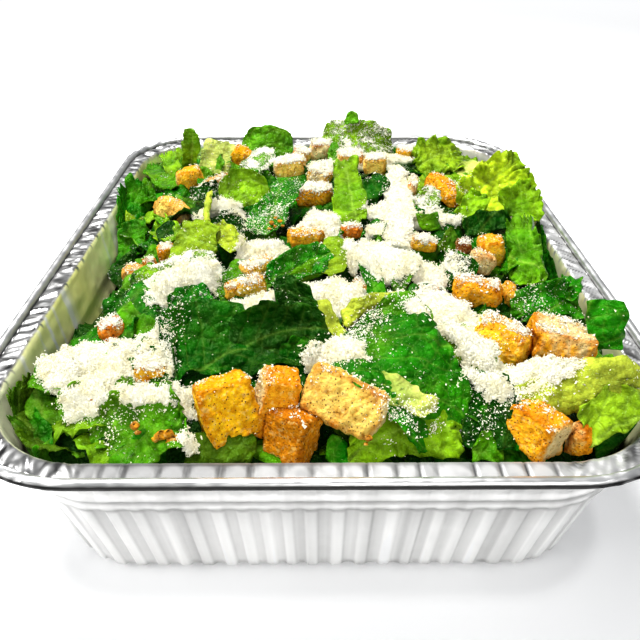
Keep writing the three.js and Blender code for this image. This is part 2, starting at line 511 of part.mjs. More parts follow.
function croutonSolid(row, seed) {
  const vertices = [];
  const index = new Map();
  const cells = STEPS.flatMap((i) => STEPS.flatMap((j) => STEPS.map((k) => [i, j, k])));
  cells.filter((cell) => cell.some((step) => step !== 0)).forEach((cell) => {
    index.set(cell.join(), vertices.length);
    vertices.push(croutonPoint(row, seed, cell));
  });
  const triangles = [];
  const quarters = [[-1, -1], [-1, 0], [0, -1], [0, 0]];
  SIDES.forEach(([out, right, up]) => [-1, 1].forEach((sign) => {
    const at = (a, b) => index.get(out.map((o, n) => o * sign + right[n] * a + up[n] * b).join());
    quarters.forEach(([a, b]) => {
      const quad = [at(a, b), at(a + 1, b), at(a + 1, b + 1), at(a, b + 1)];
      if (sign < 0) quad.reverse();
      triangles.push([quad[0], quad[1], quad[2]], [quad[0], quad[2], quad[3]]);
    });
  }));
  return solid({ vertices, triangles });
}

// The room a crouton takes up: a plain box that its uneven sides stay GAP clear of.
function croutonBed([middle, size, turns]) {
  const spare = CRUST.swell + CRUST.uneven / 2;
  const room = new THREE.BoxGeometry(...size.map((side) => side * spare + 2 * GAP));
  room.applyMatrix4(new THREE.Matrix4().makeRotationFromEuler(turnOf(turns)));
  room.translate(...middle);
  room.deleteAttribute('normal');
  room.deleteAttribute('uv');
  const merged = mergeVertices(room);
  return solid({
    vertices: [...merged.attributes.position.array],
    triangles: [...merged.index.array],
  });
}

function makeCroutons() {
  const made = [];
  Object.entries(CROUTONS).forEach(([name, row], i) => {
    let one = croutonSolid(row, i + 1);
    made.forEach((other) => {
      one = one.subtract(other.grown);
    });
    made.push({ name, one: largest(one), grown: croutonBed(row) });
  });
  return made;
}

// ---------------------------------------------------------------- the heap
// The packed middle: rings of points over the floor of the pan, with LOOSE of leaves left above.
const CORE = { rings: 6, spokes: 28, foot: 6, footRise: 4, footInset: 0.5, spread: 1.2, unevenTop: 8 };

// Where a spoke of the core meets the outline of the base, seen from above.
function spokeEnd(k) {
  const angle = 2 * Math.PI * k / CORE.spokes;
  const sideways = Math.abs(Math.cos(angle)) / BASE_WIDTH;
  const lengthways = Math.abs(Math.sin(angle)) / BASE_LENGTH;
  const reach = 0.5 / Math.max(sideways, lengthways);
  return [reach * Math.cos(angle), reach * Math.sin(angle)];
}

// A ring of the core at a share of the way out, kept inside the wall and moved in by `inset`.
function coreRing(scale, inset, height) {
  return Array.from({ length: CORE.spokes }, (_, k) => {
    const [x, y] = spokeEnd(k).map((value) => value * scale * CORE.spread);
    const [px, py, pz] = insidePan([x, y, height(k)]);
    const keep = 1 - inset / Math.hypot(px, py);
    return [px * keep, py * keep, pz];
  });
}

function heapCore() {
  const { rings, spokes } = CORE;
  const floor = FOIL + GAP;
  const vertices = [
    [0, 0, floor],
    ...coreRing(1, CORE.foot, () => floor),
    ...coreRing(1, CORE.footInset, () => floor + CORE.footRise),
  ];
  for (let r = rings; r > 0; r -= 1) {
    const height = (k) => {
      const [x, y] = spokeEnd(k).map((value) => value * r / rings);
      return heapTop(x, y) - LOOSE + CORE.unevenTop * (draw(r * spokes + k) - 0.5);
    };
    vertices.push(...coreRing(r === rings ? 1 : 0.93 * r / rings, 0, height));
  }
  vertices.push([0, 0, heapTop(0, 0) - LOOSE]);
  const at = (ringNumber, k) => 1 + ringNumber * spokes + k % spokes;
  const lastRing = rings + 1;
  const triangles = [];
  for (let k = 0; k < spokes; k += 1) {
    triangles.push([0, at(0, k + 1), at(0, k)]);
    for (let n = 0; n < lastRing; n += 1) {
      const [a, b, c, d] = [at(n, k), at(n, k + 1), at(n + 1, k + 1), at(n + 1, k)];
      triangles.push([a, b, c], [a, c, d]);
    }
    triangles.push([at(lastRing, k), at(lastRing, k + 1), vertices.length - 1]);
  }
  return solid({ vertices, triangles });
}

// Leaves that fill the far end and the middle where the large ones leave room, spread by the
// golden ratio: every third one lies along the middle.
const FILLER = { count: 8, width: 25, rise: 6, sink: 2, half: [14, 19], spread: 200, farY: [107, 133] };
const GOLDEN = 0.618;

function fillerLeaf(k) {
  const x = (((k + 1) * GOLDEN) % 1 - 0.5) * FILLER.spread;
  const [nearest, furthest] = FILLER.farY;
  const y = k % 3 === 0 ? -30 + 5 * k : nearest + (furthest - nearest) * draw(k + 5);
  const heading = 2 * Math.PI * draw(k + 200);
  const half = FILLER.half[0] + (FILLER.half[1] - FILLER.half[0]) * draw(k + 300);
  const [aheadX, aheadY] = [Math.cos(heading) * half, Math.sin(heading) * half];
  const base = heapTop(x, y) - FILLER.rise;
  return {
    from: [x - aheadX, y - aheadY, base - FILLER.sink],
    over: [x, y, base + FILLER.rise],
    to: [x + aheadX, y + aheadY, base],
    width: FILLER.width,
    face: [draw(k + 400) - 0.5, draw(k + 500) - 0.6, 1],
    cup: 0.2,
    waves: 1,
    round: 0.5,
    seed: k + 700,
  };
}

function lettuceHeap(croutons) {
  let heap = heapCore();
  Object.entries(ROMAINE).forEach(([name, row], i) => {
    const [from, over, to, width, face, cup, waves, round] = row;
    const thick = LEAF + (FLESHY[name] ?? 0) * RIB_LEAF;
    heap = heap.add(leafSolid({ from, over, to, width, face, cup, waves, round, seed: i + 1 }, thick));
  });
  for (let k = 0; k < FILLER.count; k += 1) heap = heap.add(leafSolid(fillerLeaf(k)));
  Object.values(DRIFTS).forEach(([from, over, to, width], i) => {
    heap = heap.add(driftSolid({ from, over, to, width, seed: i + 90 }));
  });
  croutons.forEach(({ grown }) => {
    heap = heap.subtract(grown);
  });
  return largest(largest(heap).simplify(FINEST));
}

meshOf('foil_pan', solid(foilPan()), foil);
const croutons = makeCroutons();
croutons.forEach(({ name, one }) => meshOf(`crouton_${name}`, one, toast));
meshOf('lettuce_heap', lettuceHeap(croutons), lettuce);

export default salad;
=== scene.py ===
"""Caesar salad in a half-size foil steam pan: the foil, the romaine, the croutons and the cheese.

Lengths are millimetres until a mesh is made. The pan's base is centred on the origin, X runs
across the pan, Y along it away from the diner, and Z up.
"""

import math
from types import SimpleNamespace

import bpy
import numpy as np
from mathutils import Euler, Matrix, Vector


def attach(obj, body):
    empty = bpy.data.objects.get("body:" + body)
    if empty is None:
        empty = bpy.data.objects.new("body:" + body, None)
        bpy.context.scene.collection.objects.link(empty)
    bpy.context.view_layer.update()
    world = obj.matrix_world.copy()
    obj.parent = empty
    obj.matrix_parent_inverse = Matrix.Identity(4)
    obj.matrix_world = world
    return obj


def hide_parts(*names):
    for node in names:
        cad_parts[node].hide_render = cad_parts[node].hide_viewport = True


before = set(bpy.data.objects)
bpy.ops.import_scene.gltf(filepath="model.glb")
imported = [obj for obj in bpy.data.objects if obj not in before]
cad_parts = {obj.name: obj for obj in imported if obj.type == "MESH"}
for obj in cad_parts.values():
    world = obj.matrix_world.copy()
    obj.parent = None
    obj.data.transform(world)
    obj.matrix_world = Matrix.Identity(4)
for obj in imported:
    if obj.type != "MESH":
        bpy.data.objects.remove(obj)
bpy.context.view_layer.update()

MM = 0.001

# ------------------------------------------------------------------ sizes of the pan
BASE_HALF_X, BASE_HALF_Y, BASE_CORNER = 108.0, 138.0, 32.0
MOUTH_RISE, CORNER_RISE = 12.0, 8.0     # what the mouth adds to the half widths and the corners
RIM_UNDER = 76.4                        # height of the flange's underside
PAN_HEIGHT = 80.0                       # height over the rolled edge
FOIL = 0.8
FLANGE = 12.0                           # width of the flange with its rolled edge
BEAD = 2.0                              # radius of the rolled edge
STEP_LOW, STEP_HIGH = 49.0, 56.0        # where the stacking step starts and ends
WALL_CLEAR = 1.7                        # what the salad keeps off the wall

# ------------------------------------------------------------------ camera
CAMERA_PLACE = (-1.854, -283.144, 228.662)
CAMERA_DOWN = math.radians(35.58)
CAMERA_TURN = -0.005
LENS, SENSOR = 33.99, 36.0


# ------------------------------------------------------------------ draws and noise
def draw(k):
    """A repeatable number from 0 to 1: the fraction of 43758.5453 sin(12.9898 k + 4.1414)."""
    value = np.sin(np.asarray(k, float) * 12.9898 + 4.1414) * 43758.5453
    return value - np.floor(value)


def corner_draw(i, j, k, seed):
    """A number from 0 to 1 for each whole-number corner, by multiplying and folding its bits."""
    n = (i * 374761393 + j * 668265263 + k * 1442695041 + seed * 97531) & 0xFFFFFFFF
    n = ((n ^ (n >> 13)) * 1274126177) & 0xFFFFFFFF
    return ((n ^ (n >> 16)) & 0xFFFFFF) / float(0xFFFFFF)


def noise(points, size, seed=0):
    """Smooth noise from -1 to 1: draws at the corners of cells `size` wide, blended by 3t2-2t3."""
    p = np.asarray(points, float) / size
    cell = np.floor(p).astype(np.int64)
    f = p - cell
    f = f * f * (3 - 2 * f)
    total = np.zeros(p.shape[:-1])
    for di in (0, 1):
        for dj in (0, 1):
            for dk in (0, 1):
                weight = (f[..., 0] if di else 1 - f[..., 0]) * (f[..., 1] if dj else 1 - f[..., 1])
                weight = weight * (f[..., 2] if dk else 1 - f[..., 2])
                total += weight * corner_draw(cell[..., 0] + di, cell[..., 1] + dj,
                                              cell[..., 2] + dk, seed)
    return 2 * total - 1


def noise_at(x, y, z, size, seed):
    """The same noise at three coordinates given one by one, each a number or an array."""
    return noise(np.stack(np.broadcast_arrays(x, y, z), -1), size, seed)


def noise_line(x, size, seed):
    """The same noise along a line."""
    return noise_at(x, 0.0, 0.0, size, seed)


def cells(points, size, seed=0, flat=False):
    """Distances, in cells, to the nearest and the next of the points drawn one to each cell.

    Flat cells lie side by side in X and Y only.
    """
    p = np.asarray(points, float) / size
    cell = np.floor(p).astype(np.int64)
    near = np.full(p.shape[:-1], 9.0)
    after = near.copy()
    for di in (-1, 0, 1):
        for dj in (-1, 0, 1):
            for dk in ((0,) if flat else (-1, 0, 1)):
                i, j, k = cell[..., 0] + di, cell[..., 1] + dj, cell[..., 2] + dk
                away = ((p[..., 0] - i - corner_draw(i, j, k, seed)) ** 2
                        + (p[..., 1] - j - corner_draw(i, j, k, seed + 1)) ** 2)
                if not flat:
                    away = away + (p[..., 2] - k - corner_draw(i, j, k, seed + 2)) ** 2
                after = np.minimum(after, np.maximum(near, away))
                near = np.minimum(near, away)
    return np.sqrt(near), np.sqrt(after)


def smooth_step(x, low, high):
    """0 below `low`, 1 above `high`, and 3t2-2t3 between them."""
    t = np.clip((np.asarray(x, float) - low) / (high - low), 0, 1)
    return t * t * (3 - 2 * t)


def linear(colour):
    """A colour of 0 to 255 per channel as the light it stands for, by the sRGB curve."""
    c = np.asarray(colour, float) / 255
    return np.where(c <= 0.04045, c / 12.92, ((c + 0.055) / 1.055) ** 2.4)


def mix(a, b, share):
    """a where share is 0, b where it is 1."""
    share = np.asarray(share, float)[..., None]
    return a * (1 - share) + b * share


def unit(v):
    """Vectors shortened or drawn out to length 1."""
    v = np.asarray(v, float)
    return v / np.maximum(np.linalg.norm(v, axis=-1, keepdims=True), 1e-9)


# ------------------------------------------------------------------ meshes
def grid_faces(rows, columns, wrap=False, first=0):
    """Quads between the rows and columns of a grid; `wrap` joins its last column to its first."""
    steps = columns if wrap else columns - 1
    i, j = np.meshgrid(np.arange(rows - 1), np.arange(steps), indexing="ij")
    k = (j + 1) % columns
    a, b, c, d = i * columns + j, (i + 1) * columns + j, (i + 1) * columns + k, i * columns + k
    return first + np.stack([a, b, c, d], -1).reshape(-1, 4)


def plate(upper, lower):
    """Points and faces of a closed sheet between two like grids, the first one on top."""
    rows, columns = upper.shape[:2]
    count = rows * columns
    top = grid_faces(rows, columns)
    under = grid_faces(rows, columns, first=count)[:, ::-1]
    index = np.arange(count).reshape(rows, columns)
    border = np.concatenate([index[0, :-1], index[:-1, -1], index[-1, :0:-1], index[:0:-1, 0]])
    ahead = np.roll(border, -1)
    strip = np.stack([border, ahead, ahead + count, border + count], -1)
    points = np.concatenate([upper.reshape(-1, 3), lower.reshape(-1, 3)])
    return points, [np.concatenate([top, under, strip])]


def capped_rings(rows, columns):
    """Faces of a stack of rings of points, the lowest ring first, with a cap on both its ends."""
    index = np.arange(columns)
    last = (rows - 1) * columns
    return [grid_faces(rows, columns, wrap=True)[:, ::-1], index[None, ::-1], last + index[None]]


def piece(name, parts, material, replaced, smooth=True):
    """One object of many parts in place of CAD nodes.

    Each part is a dict of points, lists of faces and perhaps a tint for each point. A tint has four
    numbers: a colour, and how thickly cheese or dressing lies over it.
    """
    points = np.concatenate([p["points"] for p in parts]) * MM
    shifts = np.cumsum([0] + [len(p["points"]) for p in parts[:-1]])
    faces = [some + shift for p, shift in zip(parts, shifts) for some in p["faces"]]
    corners = np.concatenate([some.reshape(-1) for some in faces])
    sides = np.concatenate([np.full(len(some), some.shape[1]) for some in faces])
    mesh = bpy.data.meshes.new(name)
    mesh.vertices.add(len(points))
    mesh.vertices.foreach_set("co", points.astype(np.float32).ravel())
    mesh.loops.add(len(corners))
    mesh.loops.foreach_set("vertex_index", corners.astype(np.int32))
    mesh.polygons.add(len(sides))
    starts = np.concatenate([[0], np.cumsum(sides)[:-1]])
    mesh.polygons.foreach_set("loop_start", starts.astype(np.int32))
    mesh.polygons.foreach_set("use_smooth", np.full(len(sides), smooth))
    mesh.update(calc_edges=True)
    if "tint" in parts[0]:
        tint = np.concatenate([p["tint"] for p in parts])
        layer = mesh.color_attributes.new("tint", "FLOAT_COLOR", "POINT")
        layer.data.foreach_set("color", tint.astype(np.float32).ravel())
    mesh.materials.append(material)
    made = bpy.data.objects.new(name, mesh)
    bpy.context.scene.collection.objects.link(made)
    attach(made, "root")
    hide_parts(*replaced)


# ------------------------------------------------------------------ materials
class Nodes:
    """Short names for making and joining the nodes of one tree."""

    def __init__(self, tree):
        self.tree = tree

    def add(self, kind, settings=None, **sockets):
        """A node with its settings made, and its sockets joined to others or set to constants."""
        node = self.tree.nodes.new(kind)
        for key, value in (settings or {}).items():
            setattr(node, key, value)
        for key, value in sockets.items():
            self.put(node, key.replace("_", " "), value)
        return node

    def put(self, node, key, value):
        socket = node.inputs[int(key)] if key.isdigit() else node.inputs[key]
        if isinstance(value, bpy.types.NodeSocket):
            self.tree.links.new(value, socket)
        else:
            socket.default_value = value

    def sum(self, operation, *values):
        node = self.tree.nodes.new("ShaderNodeMath")
        node.operation = operation
        for k, value in enumerate(values):
            self.put(node, str(k), value)
        return node.outputs[0]

    def ramp(self, value, low, high, to_low=0.0, to_high=1.0):
        """`to_low` where the value is below `low`, `to_high` above `high`, and 3t2-2t3 between."""
        node = self.add("ShaderNodeMapRange", {"interpolation_type": "SMOOTHSTEP"}, Value=value,
                        From_Min=low, From_Max=high, To_Min=to_low, To_Max=to_high)
        return node.outputs[0]

    def blend(self, share, a, b, kind="MIX"):
        node = self.add("ShaderNodeMix", {"data_type": "RGBA", "blend_type": kind})
        for key, value in (("0", share), ("6", a), ("7", b)):
            self.put(node, key, value)
        return node.outputs[2]

    def cloud(self, place, scale, detail=2.0, roughness=0.5):
        """Noise from 0 to 1, with about `scale` cells to the metre."""
        return self.add("ShaderNodeTexNoise", Vector=place, Scale=scale, Detail=detail,
                        Roughness=roughness).outputs[0]

    def group(self, tree, **sockets):
        return self.add("ShaderNodeGroup", {"node_tree": tree}, **sockets).outputs[0]

    def tint(self):
        """The tint of each point: its colour, and how thickly cheese or dressing lies over it."""
        node = self.add("ShaderNodeAttribute", {"attribute_name": "tint"})
        return node.outputs["Color"], node.outputs["Alpha"]

    def bump(self, shader, strength, distance, height):
        node = self.add("ShaderNodeBump", Strength=strength, Distance=distance, Height=height)
        self.put(shader, "Normal", node.outputs[0])


def finish(name, **constants):
    """A new material, its nodes, its Principled BSDF with constants set, and Object coordinates."""
    made = bpy.data.materials.new(name)
    made.use_nodes = True
    nodes = Nodes(made.node_tree)
    shader = made.node_tree.nodes["Principled BSDF"]
    for key, value in constants.items():
        shader.inputs[key.replace("_", " ")].default_value = value
    return made, nodes, shader, nodes.add("ShaderNodeTexCoord").outputs["Object"]


def new_group(name, output, *inputs):
    """An empty shader group: a Vector and the named numbers go in, and one number comes out."""
    tree = bpy.data.node_groups.new(name, "ShaderNodeTree")
    tree.interface.new_socket("Vector", in_out="INPUT", socket_type="NodeSocketVector")
    for key in inputs:
        tree.interface.new_socket(key, in_out="INPUT", socket_type="NodeSocketFloat")
    tree.interface.new_socket(output, in_out="OUTPUT", socket_type="NodeSocketFloat")
    given = tree.nodes.new("NodeGroupInput").outputs
    return Nodes(tree), given, tree.nodes.new("NodeGroupOutput")


def wetness_group():
    """Uneven gloss: soft noise of the given size swings roughness between two values."""
    nodes, given, out = new_group("uneven_gloss", "Roughness", "Scale", "Low", "High")
    cloud = nodes.cloud(given["Vector"], given["Scale"])
    nodes.put(out, "Roughness", nodes.ramp(cloud, 0.35, 0.65, given["Low"], given["High"]))
    return nodes.tree


def speck_group():
    """Specks: 1 within 0.4 to 1.35 `Size` of a `Share` of the points scattered at `Scale`."""
    nodes, given, out = new_group("specks", "Mask", "Scale", "Size", "Share")
    spots = nodes.add("ShaderNodeTexVoronoi", Vector=given["Vector"], Scale=given["Scale"])
    pick = nodes.add("ShaderNodeSeparateColor", Color=spots.outputs["Color"])
    wide = nodes.sum("MULTIPLY_ADD", pick.outputs[1], 0.95, 0.4)
    reach = nodes.sum("MULTIPLY", given["Size"], wide)
    near = nodes.sum("LESS_THAN", spots.outputs["Distance"], reach)
    chosen = nodes.sum("LESS_THAN", pick.outputs[0], given["Share"])
    nodes.put(out, "Mask", nodes.sum("MULTIPLY", near, chosen))
    return nodes.tree


def powder_group():
    """Fine cheese on a surface: more of the grains of a noise show as `Amount` goes from 0 to 1."""
    nodes, given, out = new_group("powder", "Mask", "Amount")
    grains = nodes.cloud(given["Vector"], 1050.0, 2.0, 0.7)
    drifted = nodes.cloud(given["Vector"], 330.0, 1.0)
    value = nodes.sum("MULTIPLY_ADD", given["Amount"], 0.55, grains)
    value = nodes.sum("MULTIPLY_ADD", drifted, 0.35, value)
    mask = nodes.ramp(value, 0.90, 1.04, 0.0, 0.9)
    nodes.put(out, "Mask", nodes.sum("MULTIPLY", mask, nodes.ramp(given["Amount"], 0.0, 0.08)))
    return nodes.tree


GLOSS = wetness_group()
SPECKS = speck_group()
POWDER = powder_group()
GRATED = (0.885, 0.87, 0.75, 1)         # grated cheese
DEEP_GRATED = (0.87, 0.83, 0.60, 1)
BROWN_GRAIN = (0.70, 0.50, 0.2, 1)      # what the browner grains of toast do to its tint
LIGHT_GRAIN = (0.95, 0.74, 0.28, 1)
HERB = (0.13, 0.05, 0.015, 1)
CHEESE_PAINTED_GLOW = 0.04      # painted glow: light the cheese gives off, standing in for the light the loose grains pass on to each other
TABLE_PAINTED_GLOW = 0.12       # painted glow of the table: left out close to the pan as a painted shadow, three times as strong far behind as painted light


def foil_finish():
    """Bright rolled aluminium with fine crinkles, dulled where dressing dried on it and on parts of
    its rim; its tint carries painted shade, highlights and reflections.
    """
    made, nodes, shader, place = finish("aluminium_foil", Specular_IOR_Level=0.4)
    colour, dull = nodes.tint()
    nodes.put(shader, "Base Color", colour)
    nodes.put(shader, "Metallic", nodes.sum("MULTIPLY_ADD", dull, -0.85, 0.92))
    gloss = nodes.group(GLOSS, Vector=place, Scale=140.0, Low=0.30, High=0.46)
    nodes.put(shader, "Roughness", gloss)
    nodes.bump(shader, 0.05, 0.0006, nodes.cloud(place, 170.0, 3.0))
    return made


def romaine_finish():
    """Dressed leaf: the tint of each point, mottled, wet in patches and dusted with fine cheese."""
    made, nodes, shader, place = finish(
        "dressed_romaine", Subsurface_Weight=0.1, Subsurface_Scale=0.0015,
        Subsurface_Radius=(0.6, 1.0, 0.25), Specular_IOR_Level=0.26,
        Specular_Tint=(0.5, 1.0, 0.25, 1), Coat_Roughness=0.06, Coat_IOR=1.4)
    colour, dusted = nodes.tint()
    shade = nodes.ramp(nodes.cloud(place, 160.0, 4.0, 0.65), 0.3, 0.7, 0.66, 1.34)
    grey = nodes.add("ShaderNodeCombineColor", Red=shade, Green=shade, Blue=shade)
    colour = nodes.blend(1.0, colour, grey.outputs[0], "MULTIPLY")
    powder = nodes.group(POWDER, Vector=place, Amount=dusted)
    nodes.put(shader, "Base Color", nodes.blend(powder, colour, GRATED))
    gloss = nodes.group(GLOSS, Vector=place, Scale=160.0, Low=0.05, High=0.22)
    nodes.put(shader, "Roughness", nodes.sum("MAXIMUM", gloss, nodes.sum("MULTIPLY", powder, 0.7)))
    film = nodes.ramp(nodes.cloud(place, 190.0, 3.0), 0.58, 0.64, 0.0, 0.06)
    bare = nodes.sum("SUBTRACT", 1.0, powder)
    nodes.put(shader, "Coat Weight", nodes.sum("MULTIPLY", film, bare))
    quilt = nodes.add("ShaderNodeTexVoronoi", Vector=place, Scale=260.0).outputs["Distance"]
    height = nodes.sum("MULTIPLY_ADD", powder, 0.5, nodes.cloud(place, 330.0, 4.0, 0.6))
    nodes.bump(shader, 1.0, 0.0024, nodes.sum("MULTIPLY_ADD", quilt, -0.7, height))
    return made


def crouton_finish():
    """Toasted bread: the tint of each point, browner and lighter grains, herbs and fine cheese."""
    made, nodes, shader, place = finish("toasted_bread", Roughness=0.85, Specular_IOR_Level=0.06,
                                        Subsurface_Weight=0.08, Subsurface_Scale=0.001)
    plain, dusted = nodes.tint()
    grain = nodes.cloud(place, 800.0, 4.0, 0.7)
    brown = nodes.blend(1.0, plain, BROWN_GRAIN, "MULTIPLY")
    colour = nodes.blend(nodes.ramp(grain, 0.48, 0.70, 0.0, 0.68), plain, brown)
    light = nodes.ramp(nodes.cloud(place, 620.0, 3.0), 0.52, 0.68, 0.0, 0.40)
    colour = nodes.blend(light, colour, LIGHT_GRAIN)
    herbs = nodes.group(SPECKS, Vector=place, Scale=860.0, Size=0.23, Share=0.8)
    colour = nodes.blend(nodes.sum("MULTIPLY", herbs, 0.8), colour, HERB)
    powder = nodes.group(POWDER, Vector=place, Amount=dusted)
    nodes.put(shader, "Base Color", nodes.blend(powder, colour, GRATED))
    pores = nodes.add("ShaderNodeTexVoronoi", Vector=place, Scale=800.0).outputs["Distance"]
    height = nodes.sum("MULTIPLY_ADD", pores, 0.6, grain)
    nodes.bump(shader, 0.95, 0.0015, nodes.sum("MULTIPLY_ADD", powder, 0.6, height))
    return made


def cheese_finish():
    """Grated hard cheese: cream, a little deeper in places, matt and granular, with a faint painted
    glow.
    """
    made, nodes, shader, place = finish("grated_cheese", Roughness=0.7, Specular_IOR_Level=0.2,
                                        Emission_Color=(1, 0.95, 0.80, 1),
                                        Emission_Strength=CHEESE_PAINTED_GLOW)
    deep = nodes.ramp(nodes.cloud(place, 120.0, 5.0, 0.7), 0.40, 0.66)
    nodes.put(shader, "Base Color", nodes.blend(deep, GRATED, DEEP_GRATED))
    nodes.bump(shader, 0.6, 0.0008, nodes.cloud(place, 1300.0, 3.0, 0.7))
    return made


def beyond_pan(nodes, place):
    """How far outside the pan's base a point is: its distance to that rounded rectangle."""
    split = nodes.add("ShaderNodeSeparateXYZ", Vector=place)
    squares = []
    for k, half in enumerate((BASE_HALF_X, BASE_HALF_Y)):
        straight = (half - BASE_CORNER) * MM
        past = nodes.sum("SUBTRACT", nodes.sum("ABSOLUTE", split.outputs[k]), straight)
        past = nodes.sum("MAXIMUM", past, 0.0)
        squares.append(nodes.sum("MULTIPLY", past, past))
    return nodes.sum("SUBTRACT", nodes.sum("SQRT", nodes.sum("ADD", *squares)), BASE_CORNER * MM)


def table_finish():
    """A pale, matt table top with a trace of unevenness, and a painted glow: none close to the pan,
    as a painted shadow round its base, and more far behind, as painted light.
    """
    made, nodes, shader, place = finish("pale_table", Roughness=0.85, Specular_IOR_Level=0.2,
                                        Emission_Strength=TABLE_PAINTED_GLOW)
    # painted shadow and light: no glow within 10 mm of the pan's base, full glow from 19 mm, and
    # three times that from 0.9 to 1.5 m away
    away = beyond_pan(nodes, place)
    near = nodes.blend(nodes.ramp(away, 0.010, 0.019), (0, 0, 0, 1), (1, 1, 1, 1))
    far = nodes.ramp(away, 0.9, 1.5)
    nodes.put(shader, "Emission Color", nodes.blend(far, near, (3, 3, 3, 1)))
    cloud = nodes.cloud(place, 4.0)
    colour = nodes.blend(cloud, (0.93, 0.93, 0.93, 1), (0.95, 0.95, 0.95, 1))
    nodes.put(shader, "Base Color", colour)
    return made


foil = foil_finish()
romaine = romaine_finish()
toasted = crouton_finish()
cheese = cheese_finish()


# ------------------------------------------------------------------ the foil pan
def stations(long_count=210, short_count=172, corner_count=84):
    """Places round a rounded rectangle, from the +X +Y corner: which stretch, and how far along it.

    Stretches 0, 2, 4, 6 are the corners, counted by quarter turns, and 1, 3, 5, 7 the sides.
    """
    stretch, along = [], []
    for side in range(4):
        side_count = long_count if side % 2 else short_count
        for kind, n in ((2 * side, corner_count), (2 * side + 1, side_count)):
            stretch.append(np.full(n, kind))
            along.append(np.arange(n) / n)
    return np.concatenate(stretch), np.concatenate(along)


def outline(half_x, half_y, radius, stretch, along):
    """Points of a rounded rectangle and the way out of it: arcs at its corners, lines between."""
    quarter = stretch // 2
    after = (quarter + 1) % 4
    on_arc = stretch % 2 == 0
    turn = (quarter + np.where(on_arc, along, 1)) * math.pi / 2
    out_x, out_y = np.cos(turn), np.sin(turn)
    sign_x = np.array([1, -1, -1, 1])
    sign_y = np.array([1, 1, -1, -1])
    part = np.where(on_arc, 0, along)
    middle_x = sign_x[quarter] * (1 - part) + sign_x[after] * part
    middle_y = sign_y[quarter] * (1 - part) + sign_y[after] * part
    x = middle_x * (half_x - radius) + radius * out_x
    y = middle_y * (half_y - radius) + radius * out_y
    return x, y, out_x, out_y


FLUTES = 103            # round the whole wall
FLUTE_DEPTH = 0.62
FLUTE_SQUARE = 3.2      # how flat the two faces of a flute are
PANEL = 8.6             # width of the smooth panels pressed into the near side of the rim
NEAR_HALF = 78.0        # half the length of that smooth stretch
CREASE = 2.7            # spacing of the tight pleats everywhere else
SLANT = 0.55            # how far a pleat leans along the rim for each mm across it
BAND_BRIGHT = 0.60      # painted shade: how bright the plain band above the step is painted beside the flutes
FOIL_TINT = (0.93, 0.925, 0.91)
# colours of the dried dressing, also standing in for painted reflections of the leaves, and the
# painted highlight of its creases
DRESSING_AND_REFLECTION = linear((206, 214, 150)), linear((212, 196, 116)), linear((240, 236, 190))


